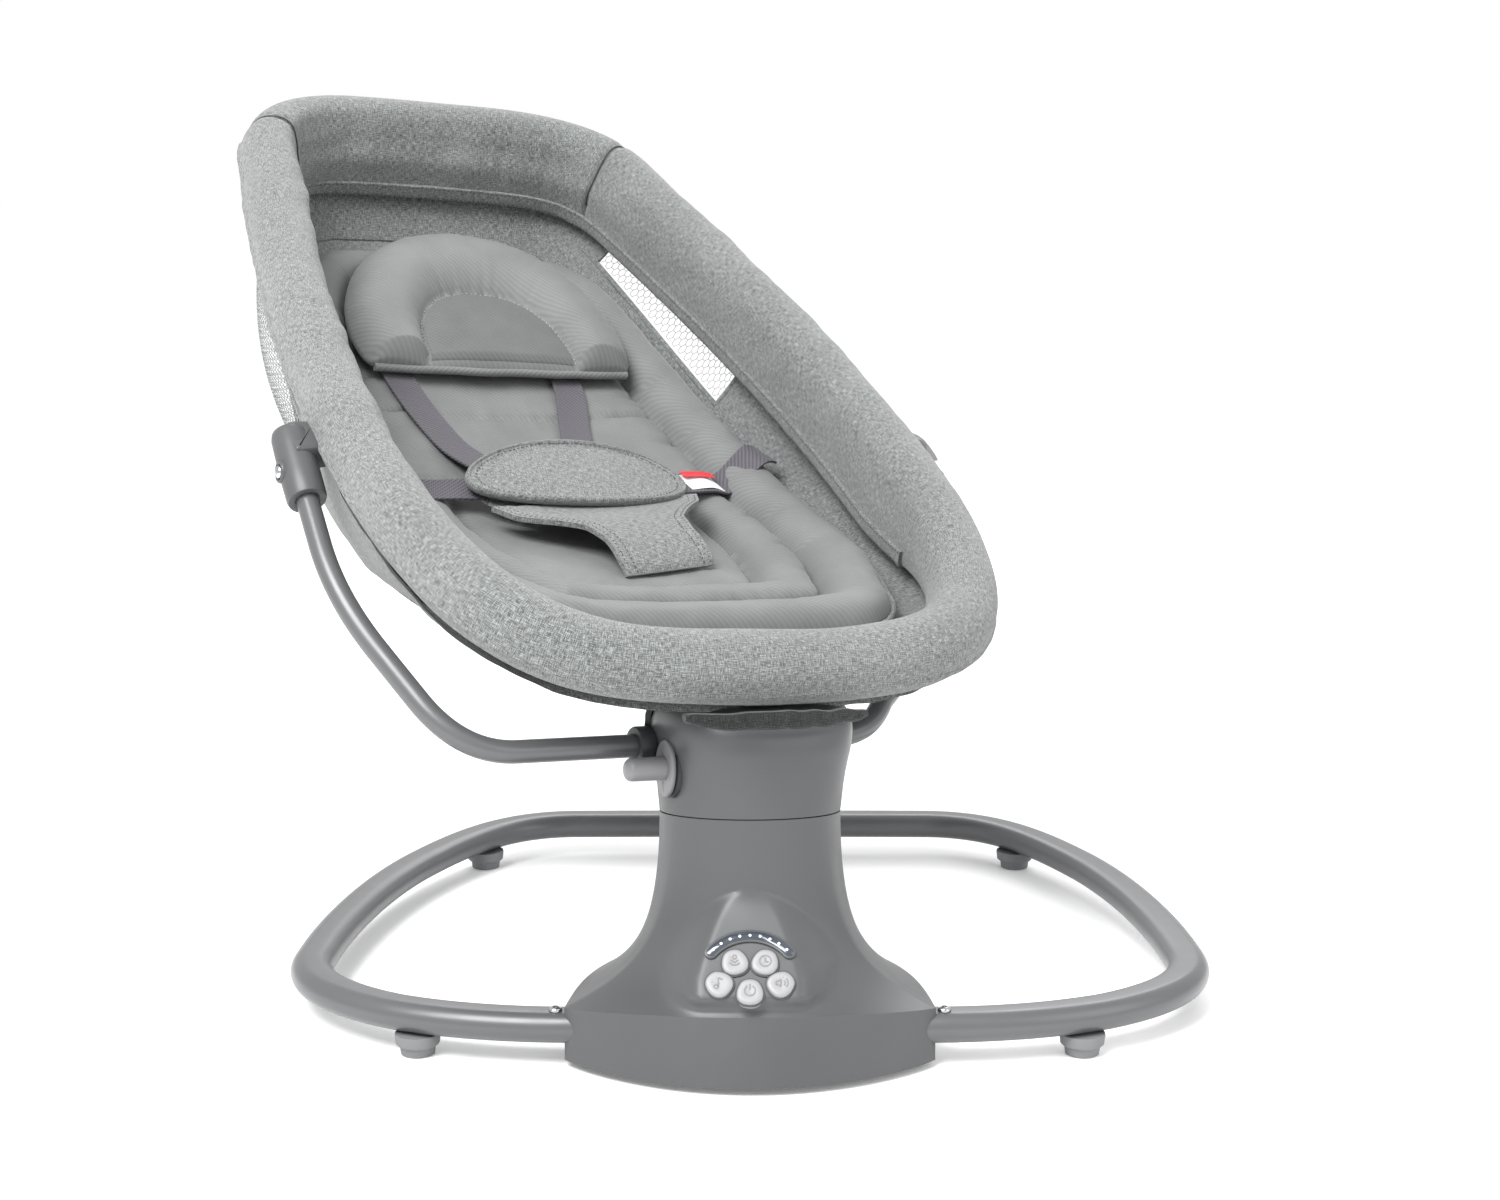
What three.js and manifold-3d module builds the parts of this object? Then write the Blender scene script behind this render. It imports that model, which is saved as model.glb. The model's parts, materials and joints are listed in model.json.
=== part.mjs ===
// A powered baby swing: a seat on a bent-tube yoke, turned by a head on a backward-leaning column.
// Millimetres, +Z up, X across the base, +Y to the back. The floor is Z = 0.
import * as THREE from "three";
import { LoftGeometry } from "three/addons/geometries/LoftGeometry.js";
import { mergeVertices } from "three/addons/utils/BufferGeometryUtils.js";
import Module from "manifold-3d";

const wasm = await Module();
wasm.setup();

// ---------------------------------------------------------------- driving dimensions
const GAP = 0.4; // between neighbouring pieces
const DEG = Math.PI / 180;

// swing axis and pose
const RING_Z = 150; // where the column ends and the turning head begins
const AXIS_LEAN = 8 * DEG; // the swing axis leans backwards
const SWING_REST = 30 * DEG; // the seat stands at one side of its swing
const SEAT_PITCH = 28 * DEG; // the rim plane rises towards the head end
const RIM_Z = 266; // rim plane above the column's foot point

// base
const COLUMN_R = 58;
const SHELL = 3; // wall of the plastic housings
const HOUSING_BASE_Z = 5;
const CORNER = { x: 118, y: -72, z: 37 }; // front corners of the housing's foot
const CREASE = { y: -108, z: 46 }; // where the flare meets the foot's front face
const FOOT_FRONT_Y = -124;
const HOUSING_REAR_Y = 92;
const LOOP_Z = 25; // centre height of the floor tube
const LOOP_TUBE = { wide: 29, high: 20, wall: 1.5 };
const LOOP_REAR_Y = 430;
const FOOT_SPOTS = { front: { x: 215, y: -47 }, rear: { x: 218, y: 385 } };
const SOCKET_END_X = 84; // the floor tubes end inside the housing
const SCREW = { x: 124, y: -65 };

// control panel: a plane that faces up and forwards
const PANEL = { y: -92, z: 77, tilt: 42.7 * DEG };
const BUTTON = { wide: 16.5, high: 18, proud: 2.2, depth: 7, travel: 1.2 };
const BUTTON_SPOTS = {
  button_swing: [-9.6, -0.8, 0.25],
  button_timer: [9.6, -0.8, -0.25],
  button_music: [-19.6, -15.6, 0.9],
  button_volume: [19.6, -15.6, -0.9],
  button_power: [0, -20.8, 0],
};
const LED_ARC = { centreUp: -15, inner: 29, outer: 35, half: 50 * DEG };

// head and recline
const PIVOT_LOCAL = { y: 20, z: 44 }; // recline axis in the head's own leaning frame
const HEAD_TOP = 71.5;
const BARREL_R = 11;
const BARREL_HALF = 75;
const LEVER = { y: -3, z: 31, plateHigh: 39, plateWide: 27, pegR: 7.5, pegLong: 31 };
const LEVER_TRAVEL = 6;

// yoke arms, in the plane through the recline axis that holds both hubs
const ARM = { r: 7.6, wall: 1.5, side: 249, hub: 254, end: 246, rise: 42.9 * DEG };

// seat
const RIM = { foot: -31, head: 684, half: 212 };
const RIM_TUBE = { r: 8, wall: 1.5 };
const WALL = 3; // sewn tub wall
const CORNER_SEAM_Y = 640;
const PAD = { thick: 25, half: 166, foot: 38, head: 636 };
const BAND = { thick: 2, wide: 25 };

// ---------------------------------------------------------------- materials
const FINISH = {
  housing: ["#787c7c", 0.45, 0],
  dark_plastic: ["#3a3d3f", 0.55, 0],
  light_plastic: ["#cfcfd2", 0.4, 0],
  tube_paint: ["#939598", 0.35, 0.3],
  chrome: ["#d8dadd", 0.15, 1],
  rubber: ["#6e7173", 0.8, 0],
  lens: ["#3a4048", 0.15, 0],
  board: ["#2f6b46", 0.6, 0],
  steel: ["#9a9ca0", 0.35, 0.9],
  nylon: ["#e4e1d6", 0.5, 0],
  bronze: ["#a5803f", 0.4, 0.9],
  heather: ["#8f9896", 0.95, 0],
  twill: ["#979998", 0.85, 0],
  mesh: ["#e8e9ea", 0.9, 0],
  webbing: ["#716e74", 0.8, 0],
  buckle: ["#55585b", 0.5, 0],
};

const steps = (n) => Array.from({ length: n }, (_, i) => i);
const lerp = THREE.MathUtils.lerp;
const clamp = THREE.MathUtils.clamp;

const assembly = new THREE.Group();

function place(name, finish, geometry, parent) {
  const [color, roughness, metalness] = FINISH[finish];
  const mesh = new THREE.Mesh(geometry, new THREE.MeshStandardMaterial({ color, roughness, metalness }));
  mesh.name = name;
  parent.add(mesh);
  return mesh;
}

// ---------------------------------------------------------------- closed geometry and booleans
function signedVolume(geometry) {
  const p = geometry.getAttribute("position");
  const [a, b, c] = [new THREE.Vector3(), new THREE.Vector3(), new THREE.Vector3()];
  let sum = 0;
  for (let i = 0; i < geometry.index.count; i += 3) {
    a.fromBufferAttribute(p, geometry.index.getX(i));
    b.fromBufferAttribute(p, geometry.index.getX(i + 1));
    c.fromBufferAttribute(p, geometry.index.getX(i + 2));
    sum += a.dot(b.cross(c));
  }
  return sum / 6;
}

// Merged vertices, no collapsed triangles, faces outwards.
function tidy(source) {
  const bare = new THREE.BufferGeometry();
  bare.setAttribute("position", source.getAttribute("position").clone());
  if (source.index) bare.setIndex(source.index.clone());
  const merged = mergeVertices(bare, 1e-4);
  const kept = [];
  for (let i = 0; i < merged.index.count; i += 3) {
    const [a, b, c] = [0, 1, 2].map((k) => merged.index.getX(i + k));
    if (a !== b && b !== c && a !== c) kept.push(a, b, c);
  }
  merged.setIndex(kept);
  if (signedVolume(merged) < 0) {
    for (let i = 0; i < kept.length; i += 3) [kept[i], kept[i + 1]] = [kept[i + 1], kept[i]];
    merged.setIndex(kept);
  }
  return merged;
}

function solid(geometry) {
  const g = tidy(geometry);
  const vertProperties = new Float32Array(g.getAttribute("position").array);
  const triVerts = new Uint32Array(g.index.array);
  return new wasm.Manifold(new wasm.Mesh({ numProp: 3, vertProperties, triVerts }));
}

function geometryOf(manifold) {
  const m = manifold.getMesh();
  const g = new THREE.BufferGeometry();
  g.setAttribute("position", new THREE.BufferAttribute(new Float32Array(m.vertProperties), 3));
  g.setIndex(Array.from(m.triVerts));
  return g;
}

function cut(body, ...tools) {
  return geometryOf(tools.reduce((sum, tool) => sum.subtract(solid(tool)), solid(body)));
}

function join(...bodies) {
  return geometryOf(bodies.map(solid).reduce((sum, body) => sum.add(body)));
}

function common(body, ...others) {
  return geometryOf(others.reduce((sum, other) => sum.intersect(solid(other)), solid(body)));
}

// ---------------------------------------------------------------- plain shapes
function box(x0, x1, y0, y1, z0, z1) {
  const g = new THREE.BoxGeometry(x1 - x0, y1 - y0, z1 - z0);
  return g.translate((x0 + x1) / 2, (y0 + y1) / 2, (z0 + z1) / 2);
}

// A cylinder of radius r between two heights on Z; r can differ at the top.
function drum(r, z0, z1, sides = 24, rTop = r) {
  const g = new THREE.CylinderGeometry(rTop, r, z1 - z0, sides);
  return g.rotateX(Math.PI / 2).translate(0, 0, (z0 + z1) / 2);
}

// A cylinder along X.
function rod(r, x0, x1, sides = 20, rEnd = r) {
  return drum(r, x0, x1, sides, rEnd).rotateY(Math.PI / 2);
}

function discShape(r) {
  const shape = new THREE.Shape();
  shape.absarc(0, 0, r, 0, 2 * Math.PI, false);
  return shape;
}

function ringShape(outer, inner) {
  const shape = discShape(outer);
  const hole = new THREE.Path();
  hole.absarc(0, 0, inner, 0, 2 * Math.PI, true);
  shape.holes.push(hole);
  return shape;
}

function slab(shape, depth, curveSegments = 8) {
  return new THREE.ExtrudeGeometry(shape, { depth, bevelEnabled: false, curveSegments });
}

function ovalShape(halfX, halfY) {
  const shape = new THREE.Shape();
  shape.absellipse(0, 0, halfX, halfY, 0, 2 * Math.PI, false, 0);
  return shape;
}

// A tube of the given section along a curve.
function along(curve, shape, steps, curveSegments = 6) {
  return new THREE.ExtrudeGeometry(shape, { extrudePath: curve, steps, curveSegments, bevelEnabled: false });
}

// A curve given by a function of 0..1.
class Route extends THREE.Curve {
  constructor(pointAt) {
    super();
    this.pointAt = pointAt;
  }
  getPoint(t, target = new THREE.Vector3()) {
    return target.copy(this.pointAt(t));
  }
}

// A loft through rings; with closing set, the last ring joins back to the first.
function loft(rings, closing = false) {
  if (closing) return new LoftGeometry([...rings, rings[0]]);
  const middleOf = (ring) => ring.reduce((sum, p) => sum.add(p), new THREE.Vector3()).divideScalar(ring.length);
  const centre = middleOf(rings[0]);
  const run = middleOf(rings[1]).sub(centre);
  const turn = rings[0].reduce((sum, p, i) => {
    const next = rings[0][(i + 1) % rings[0].length];
    return sum.add(p.clone().sub(centre).cross(next.clone().sub(centre)));
  }, new THREE.Vector3());
  const ordered = turn.dot(run) > 0 ? rings : rings.map((ring) => [...ring].reverse());
  return new LoftGeometry(ordered, { capStart: true, capEnd: true });
}

// ---------------------------------------------------------------- frames that carry the pieces
const base = new THREE.Group();
const swing = new THREE.Group(); // turned about the leaning axis
const upright = new THREE.Group(); // the same, with vertical Z and the floor as origin
const head = new THREE.Group(); // origin at the ring, Z along the swing axis
const yoke = new THREE.Group(); // origin on the recline axis
const seat = new THREE.Group(); // origin above the column, XY in the rim plane

swing.position.set(0, 0, RING_Z);
const swingAxis = new THREE.Vector3(0, Math.sin(AXIS_LEAN), Math.cos(AXIS_LEAN));
swing.quaternion.setFromAxisAngle(swingAxis, SWING_REST);
upright.position.set(0, 0, -RING_Z);
head.rotation.x = -AXIS_LEAN;
const pivotY = PIVOT_LOCAL.y * Math.cos(AXIS_LEAN) + PIVOT_LOCAL.z * Math.sin(AXIS_LEAN);
const pivotZ = RING_Z + PIVOT_LOCAL.z * Math.cos(AXIS_LEAN) - PIVOT_LOCAL.y * Math.sin(AXIS_LEAN);
yoke.position.set(0, pivotY, pivotZ);
yoke.rotation.x = ARM.rise;
seat.position.set(0, 0, RIM_Z);
seat.rotation.x = SEAT_PITCH;
swing.add(upright, head);
upright.add(yoke, seat);
yoke.updateMatrix();
seat.updateMatrix();
const hubPoint = new THREE.Vector3(0, ARM.hub, 0).applyMatrix4(yoke.matrix);
const HUB = hubPoint.applyMatrix4(seat.matrix.clone().invert());
assembly.add(base, swing);

// ---------------------------------------------------------------- base housing
const CORNER_ANGLE = Math.atan2(CORNER.y, CORNER.x);
const FRONT_STEPS = 22;
const BACK_STEPS = 16;
const HOUSING_ANGLES = [
  ...steps(FRONT_STEPS).map((k) => lerp(-Math.PI - CORNER_ANGLE, CORNER_ANGLE, k / FRONT_STEPS)),
  ...steps(BACK_STEPS).map((k) => lerp(CORNER_ANGLE, Math.PI - CORNER_ANGLE, k / BACK_STEPS)),
];

// Half of the foot's outline by angle: front arc between the corners, then sides that round to the back.
function footOutline(angle, frontY) {
  const c = Math.cos(angle);
  const s = Math.sin(angle);
  const cornerSine = Math.sin(CORNER_ANGLE);
  if (s < cornerSine) {
    const x = (CORNER.x * c) / Math.cos(CORNER_ANGLE);
    const bow = clamp(1 - (x / CORNER.x) ** 2, 0, 1) ** 0.88;
    return [x, lerp(CORNER.y, frontY, bow)];
  }
  const back = clamp((s - cornerSine) / (1 - cornerSine), 0, 1);
  const y = lerp(CORNER.y, HOUSING_REAR_Y, back);
  const x = Math.sign(c) * CORNER.x * Math.pow(1 - back ** 3, 0.6) * (1 - 0.1 * back);
  return [Math.abs(c) < 1e-9 ? 0 : x, y];
}

// How far the control panel's dome stands out of a flare that is at the given y.
function panelDome(x, y, z) {
  const plane = PANEL.y + (z - PANEL.z) * Math.tan(PANEL.tilt);
  const push = Math.max(0, y - plane) * THREE.MathUtils.smoothstep(z, 44, 58);
  const halfWidth = 52 * Math.sqrt(clamp((112 - z) / 50, 0.02, 1));
  return push * (1 - THREE.MathUtils.smoothstep(Math.abs(x) / halfWidth, 0.66, 1));
}

// A ring of the housing's outside at height share g, from the column's top (0) to the foot's edge (1).
function housingRing(g, inset) {
  const blend = 0.38 * g ** 2.2 + 0.62 * g ** 7;
  return HOUSING_ANGLES.map((angle) => {
    const topX = COLUMN_R * Math.cos(angle);
    const topY = COLUMN_R * Math.sin(angle);
    const [footX, footY] = footOutline(angle, CREASE.y);
    const x = lerp(topX, footX, blend);
    const topZ = RING_Z - topY * Math.sin(AXIS_LEAN);
    const frontness = clamp(-Math.sin(angle), 0, 1);
    const edgeZ = lerp(CORNER.z, CREASE.z, frontness ** 2);
    const z = lerp(topZ, edgeZ, g);
    const flareY = lerp(topY * Math.cos(AXIS_LEAN), footY, blend);
    const y = flareY < 0 ? flareY - panelDome(x, flareY, z) : flareY;
    const r = Math.hypot(x, y);
    const k = (r - inset) / r;
    return new THREE.Vector3(x * k, y * k, z);
  });
}

function footRing(z, frontY, inset) {
  return HOUSING_ANGLES.map((angle) => {
    const [x, y] = footOutline(angle, frontY);
    const r = Math.hypot(x, y);
    return new THREE.Vector3((x * (r - inset)) / r, (y * (r - inset)) / r, z);
  });
}

const HEIGHT_SHARES = [0, 0.2, 0.36, 0.46, 0.54, 0.62, 0.7, 0.78, 0.85, 0.91, 0.96, 1];

const panelFrame = new THREE.Matrix4()
  .makeTranslation(0, PANEL.y, PANEL.z)
  .multiply(new THREE.Matrix4().makeRotationX(Math.PI / 2 - PANEL.tilt));

// An egg-shaped outline, its narrow end turned by the given angle from straight up.
function eggShape(halfWide, halfHigh) {
  const shape = new THREE.Shape();
  shape.moveTo(0, -halfHigh);
  shape.bezierCurveTo(halfWide * 1.1, -halfHigh, halfWide * 1.25, -halfHigh * 0.1, halfWide * 0.72, halfHigh * 0.6);
  shape.bezierCurveTo(halfWide * 0.45, halfHigh, -halfWide * 0.45, halfHigh, -halfWide * 0.72, halfHigh * 0.6);
  shape.bezierCurveTo(-halfWide * 1.25, -halfHigh * 0.1, -halfWide * 1.1, -halfHigh, 0, -halfHigh);
  return shape;
}

function button(grow, from, to, turn) {
  const shape = eggShape(BUTTON.wide / 2 + grow, BUTTON.high / 2 + grow);
  return slab(shape, to - from, 4).translate(0, 0, from).rotateZ(turn);
}

function ledShape(grow) {
  const shape = new THREE.Shape();
  const half = LED_ARC.half + grow / LED_ARC.inner;
  shape.absarc(0, LED_ARC.centreUp, LED_ARC.outer + grow, Math.PI / 2 - half, Math.PI / 2 + half, false);
  shape.absarc(0, LED_ARC.centreUp, LED_ARC.inner - grow, Math.PI / 2 + half, Math.PI / 2 - half, true);
  return shape;
}

// The floor tube's left half in plan, from inside the housing round to the back.
function loopPlan() {
  const plan = new THREE.Path();
  plan.moveTo(-SOCKET_END_X, -62);
  plan.bezierCurveTo(-145, -66, -192, -56, -230, -38);
  plan.bezierCurveTo(-270, -16, -303, 18, -301, 66);
  plan.bezierCurveTo(-300, 150, -284, 248, -258, 310);
  plan.bezierCurveTo(-233, 372, -205, 424, -150, 428);
  plan.lineTo(-GAP, LOOP_REAR_Y - 1);
  return plan;
}

function loopSection(grow, hollow) {
  const r = LOOP_TUBE.high / 2 + grow;
  const flat = (LOOP_TUBE.wide - LOOP_TUBE.high) / 2;
  const outline = (path, radius) => {
    path.absarc(0, flat, radius, 0, Math.PI, false);
    path.absarc(0, -flat, radius, Math.PI, 2 * Math.PI, false);
    return path;
  };
  const shape = outline(new THREE.Shape(), r);
  if (hollow) shape.holes.push(outline(new THREE.Path(), r - LOOP_TUBE.wall));
  return shape;
}

function loopRoute(side, from = 0, to = 1) {
  const plan = loopPlan();
  return new Route((t) => {
    const p = plan.getPointAt(lerp(from, to, t));
    return new THREE.Vector3(-side * p.x, p.y, LOOP_Z);
  });
}

function loopTube(side) {
  const screwHole = drum(2.2, LOOP_Z, LOOP_Z + 30, 8).translate(side * SCREW.x, SCREW.y, 0);
  return cut(along(loopRoute(side), loopSection(0, true), 22, 2), screwHole);
}

// Space that the two floor tubes need through the housing's foot.
function loopSpace(side) {
  return along(loopRoute(side, 0, 0.2), loopSection(GAP, false), 5, 2);
}

function baseHousing() {
  const outer = HEIGHT_SHARES.map((g) => housingRing(g, 0));
  const inner = HEIGHT_SHARES.map((g) => housingRing(g, SHELL)).reverse();
  const rings = [
    ...outer,
    footRing(HOUSING_BASE_Z, FOOT_FRONT_Y, 0),
    footRing(HOUSING_BASE_Z, FOOT_FRONT_Y, SHELL),
    ...inner,
  ];
  const openings = Object.values(BUTTON_SPOTS).map(([x, up, turn]) =>
    button(GAP, -30, 30, turn).translate(x, up, 0).applyMatrix4(panelFrame),
  );
  const window = slab(ledShape(GAP), 60, 8).translate(0, 0, -30).applyMatrix4(panelFrame);
  const inlet = drum(5.4, -12, 12, 12).rotateX(Math.PI / 2).translate(0, HOUSING_REAR_Y, 20);
  return cut(loft(rings, true), ...openings, window, inlet, loopSpace(1), loopSpace(-1));
}
place("base_housing", "housing", baseHousing(), base);

function bottomCover() {
  const outline = footRing(0, FOOT_FRONT_Y, SHELL + 2).map((p) => new THREE.Vector2(p.x, p.y));
  const plate = slab(new THREE.Shape(outline), 2.5).translate(0, 0, HOUSING_BASE_Z + 0.5);
  const grille = steps(5).map((i) => box(-16 + i * 8 - 1.5, -16 + i * 8 + 1.5, 35, 62, 0, 20));
  return cut(plate, ...grille);
}
place("base_bottom_cover", "housing", bottomCover(), base);

for (const [word, side] of [["left", -1], ["right", 1]]) {
  place(`loop_tube_${word}`, "tube_paint", loopTube(side), base);
  const shaft = drum(1.9, LOOP_Z + 4, LOOP_Z + LOOP_TUBE.high / 2 + 0.6, 8);
  const dome = drum(4, LOOP_Z + LOOP_TUBE.high / 2 + 0.5, LOOP_Z + LOOP_TUBE.high / 2 + 3, 12, 2.4);
  place(`loop_screw_${word}`, "chrome", join(shaft, dome).translate(side * SCREW.x, SCREW.y, 0), base);
}

// The sleeve that joins the two floor tubes behind the column.
function loopSleeve() {
  const route = new Route((t) => new THREE.Vector3(lerp(-45, 45, t), LOOP_REAR_Y - 1.1, LOOP_Z));
  return along(route, loopSection(-LOOP_TUBE.wall - 0.8, false), 1, 2);
}
place("loop_joint_sleeve", "steel", loopSleeve(), base);

// A foot in two tiers under the floor tube.
function foot() {
  const top = LOOP_Z - LOOP_TUBE.high / 2 - GAP;
  return join(drum(11, 0, 7, 16, 12), drum(14, 6, top, 16, 15));
}
for (const [row, spot] of Object.entries(FOOT_SPOTS)) {
  for (const [word, side] of [["left", -1], ["right", 1]]) {
    place(`foot_${row}_${word}`, "rubber", foot().translate(side * spot.x, spot.y, 0), base);
  }
}

// ---------------------------------------------------------------- control panel
for (const [name, [x, up, turn]] of Object.entries(BUTTON_SPOTS)) {
  const cap = button(0, -BUTTON.depth, BUTTON.proud, turn);
  const stem = drum(2, -BUTTON.depth - 3, -BUTTON.depth + 1, 8);
  place(name, "light_plastic", join(cap, stem).translate(x, up, 0).applyMatrix4(panelFrame), base);
}
const ledWindow = slab(ledShape(0), 7, 10).translate(0, 0, -6).applyMatrix4(panelFrame);
place("led_window", "lens", ledWindow, base);

const board = box(-23, 23, -29, 2, -17, -15.4).applyMatrix4(panelFrame);
place("control_board", "board", board, base);

// ---------------------------------------------------------------- drive inside the column
const GEAR = { module: 2, sectorTeeth: 30, pinionTeeth: 10, z: -38, thick: 8 };
const GEAR_DISTANCE = (GEAR.module * (GEAR.sectorTeeth + GEAR.pinionTeeth)) / 2;
const SHAFT_R = 8;
const UPPER_BEARING_Z = -12;
const LOWER_BEARING_Z = -72;

// The leaning frame of the base, origin at the ring.
const leaning = new THREE.Group();
leaning.position.set(0, 0, RING_Z);
leaning.rotation.x = -AXIS_LEAN;
base.add(leaning);

// Straight-sided teeth on the arc from one tooth number to another, round the rest.
function gearShape(teeth, first, last, phase) {
  const m = GEAR.module;
  const pitch = (teeth * m) / 2;
  const step = (2 * Math.PI) / teeth;
  const shape = new THREE.Shape();
  const corner = (r, a, start) => {
    const x = r * Math.cos(a);
    const y = r * Math.sin(a);
    if (start) shape.moveTo(x, y);
    else shape.lineTo(x, y);
  };
  for (let i = first; i < last; i += 1) {
    const mid = phase + i * step;
    corner(pitch - 1.25 * m, mid - 0.3 * step, i === first);
    corner(pitch + 0.8 * m, mid - 0.1 * step);
    corner(pitch + 0.8 * m, mid + 0.1 * step);
    corner(pitch - 1.25 * m, mid + 0.3 * step);
  }
  const reach = last - first;
  if (reach < teeth) {
    const from = phase + (last - 1) * step + 0.5 * step;
    const to = phase + first * step - 0.5 * step + 2 * Math.PI;
    for (let k = 0; k <= 6; k += 1) corner(SHAFT_R + 4, lerp(from, to, k / 6));
  }
  return shape;
}

// The sector points to the back in mid-swing, so it stays in mesh across the whole swing.
const SECTOR_HALF_TEETH = 4;
function sectorGear() {
  const shape = gearShape(GEAR.sectorTeeth, -SECTOR_HALF_TEETH, SECTOR_HALF_TEETH + 1, Math.PI / 2);
  const blank = slab(shape, GEAR.thick).translate(0, 0, GEAR.z);
  return cut(blank, drum(SHAFT_R + GAP / 2, GEAR.z - 1, GEAR.z + GEAR.thick + 1));
}
place("sector_gear", "nylon", sectorGear(), head);

function swingShaft() {
  const spindle = drum(SHAFT_R, LOWER_BEARING_Z - 12, SHELL, 16);
  const flange = drum(16, -2.5, SHELL, 16);
  return join(spindle, flange);
}
place("swing_shaft", "steel", swingShaft(), head);

function bearing() {
  return slab(ringShape(SHAFT_R + 5, SHAFT_R + GAP), 12, 7);
}
place("upper_bearing", "bronze", bearing().translate(0, 0, UPPER_BEARING_Z - 6), leaning);
place("lower_bearing", "bronze", bearing().translate(0, 0, LOWER_BEARING_Z - 6), leaning);

function pinion() {
  const wheel = slab(gearShape(GEAR.pinionTeeth, 0, GEAR.pinionTeeth, -Math.PI / 2), GEAR.thick);
  const bore = slab(discShape(3 + GAP), GEAR.thick + 2, 6).translate(0, 0, -1);
  return cut(wheel, bore).translate(0, GEAR_DISTANCE, GEAR.z);
}
place("drive_pinion", "nylon", pinion(), leaning);

function gearMotor() {
  const gearbox = drum(13, GEAR.z - 16, GEAR.z - 2, 20);
  const motor = drum(11, GEAR.z - 44, GEAR.z - 15, 20);
  const output = drum(3, GEAR.z - 3, GEAR.z + GEAR.thick - 1, 12);
  return join(gearbox, motor, output).translate(0, GEAR_DISTANCE, 0);
}
place("gear_motor", "steel", gearMotor(), leaning);

// The frame that holds both bearings and the motor: two plates, a back web and a screw foot.
function driveChassis() {
  const upper = drum(COLUMN_R - SHELL - 4, UPPER_BEARING_Z - 4, UPPER_BEARING_Z + 2, 28);
  const lower = drum(30, LOWER_BEARING_Z - 4, LOWER_BEARING_Z + 2, 24);
  const posts = [-1, 1].map((side) =>
    box(side * 25 - 4, side * 25 + 4, -17, -4, LOWER_BEARING_Z - 4, UPPER_BEARING_Z - 3),
  );
  const shelf = box(-22, 22, 14, GEAR_DISTANCE + 10, GEAR.z - 24, GEAR.z - 20);
  const legs = [-1, 1].map((side) =>
    box(side * 18 - 4, side * 18 + 4, 6, 24, LOWER_BEARING_Z - 4, GEAR.z - 20),
  );
  const body = join(upper, lower, ...posts, shelf, ...legs);
  const bearings = drum(SHAFT_R + 5 + GAP, LOWER_BEARING_Z - 20, 10, 24);
  const motor = drum(13 + GAP, -100, GEAR.z + GEAR.thick + 4, 24).translate(0, GEAR_DISTANCE, 0);
  return cut(body, bearings, motor);
}
place("drive_chassis", "dark_plastic", driveChassis(), leaning);

const speaker = join(drum(24, 9, 13, 24), drum(15, 12, 24, 20, 11)).translate(0, 48, 0);
place("speaker", "dark_plastic", speaker, base);

function dcInlet() {
  const barrel = cut(drum(5, -7, 7, 12), drum(2.8, -1, 9, 10));
  const flangeZ = -7;
  const flange = drum(7, flangeZ - 2, flangeZ + 0.5, 12);
  return join(barrel, flange).rotateX(-Math.PI / 2).translate(0, HOUSING_REAR_Y - 4, 20);
}
place("dc_inlet", "dark_plastic", dcInlet(), base);

// ---------------------------------------------------------------- head
const HEAD_SIDES = 28;
// height, half width across, half depth to the front, half depth to the back
const HEAD_PROFILE = [
  [0.8, 58, 58, 58],
  [20, 58.5, 58, 58],
  [34, 62, 58, 57],
  [46, 65.5, 57, 54],
  [56, 64, 55, 49],
  [62, 58, 53, 44],
  [67, 48, 44, 37],
  [HEAD_TOP, 30, 28, 22],
];

function headRings(offset) {
  return HEAD_PROFILE.map(([z, across, front, back], k) => {
    const bulge = offset > 0 ? offset * clamp((z - 22) / 12, 0, 1) : offset;
    const top = k === HEAD_PROFILE.length - 1;
    const height = k === 0 && offset < 0 ? z - offset : z + (top ? bulge : 0);
    return steps(HEAD_SIDES).map((i) => {
      const angle = (i / HEAD_SIDES) * 2 * Math.PI;
      const depth = Math.sin(angle) < 0 ? front : back;
      const round = 2.6;
      const share = (v) => Math.sign(v) * Math.abs(v) ** (2 / lerp(2, round, clamp(z / 40, 0, 1)));
      const x = (across + bulge) * share(Math.cos(angle));
      return new THREE.Vector3(x, (depth + bulge) * share(Math.sin(angle)), height);
    });
  });
}

const barrelAt = (g) => g.translate(0, PIVOT_LOCAL.y, PIVOT_LOCAL.z);
const barrelSpace = barrelAt(rod(BARREL_R + GAP, -100, 100));
const shaftSpace = drum(16 + GAP, -5, 12, 20);
const slot = box(-80, -40, LEVER.y - 6, LEVER.y + 6, LEVER.z - 17 - LEVER_TRAVEL, LEVER.z + 15);
const FAR = 120;

function headFrontShell() {
  const shell = cut(loft(headRings(0)), loft(headRings(-SHELL)));
  const front = common(shell, box(-FAR, FAR, -FAR, PIVOT_LOCAL.y - GAP, -FAR, FAR));
  return cut(front, barrelSpace, shaftSpace, slot);
}
place("head_front_shell", "housing", headFrontShell(), head);

function headRearShell() {
  const shell = cut(loft(headRings(3.5)), loft(headRings(-SHELL)));
  const rear = common(shell, box(-FAR, FAR, PIVOT_LOCAL.y, FAR, -FAR, FAR));
  return cut(rear, barrelSpace);
}
place("head_rear_shell", "dark_plastic", headRearShell(), head);

// ---------------------------------------------------------------- recline: barrel, lock plate, lever
const LOCK = { x: -38, r: 21, thick: 5, shoeDeep: 6, shoeWide: 9, shoulder: 4, seat: 4 };

function tiltBarrel() {
  const body = rod(BARREL_R, -BARREL_HALF, BARREL_HALF, 20);
  const bores = [-1, 1].map((side) => rod(ARM.r + GAP / 2, side * 60 - 30, side * 60 + 30, 16));
  return cut(body, ...bores);
}
place("tilt_barrel", "dark_plastic", barrelAt(tiltBarrel()), head);

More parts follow.
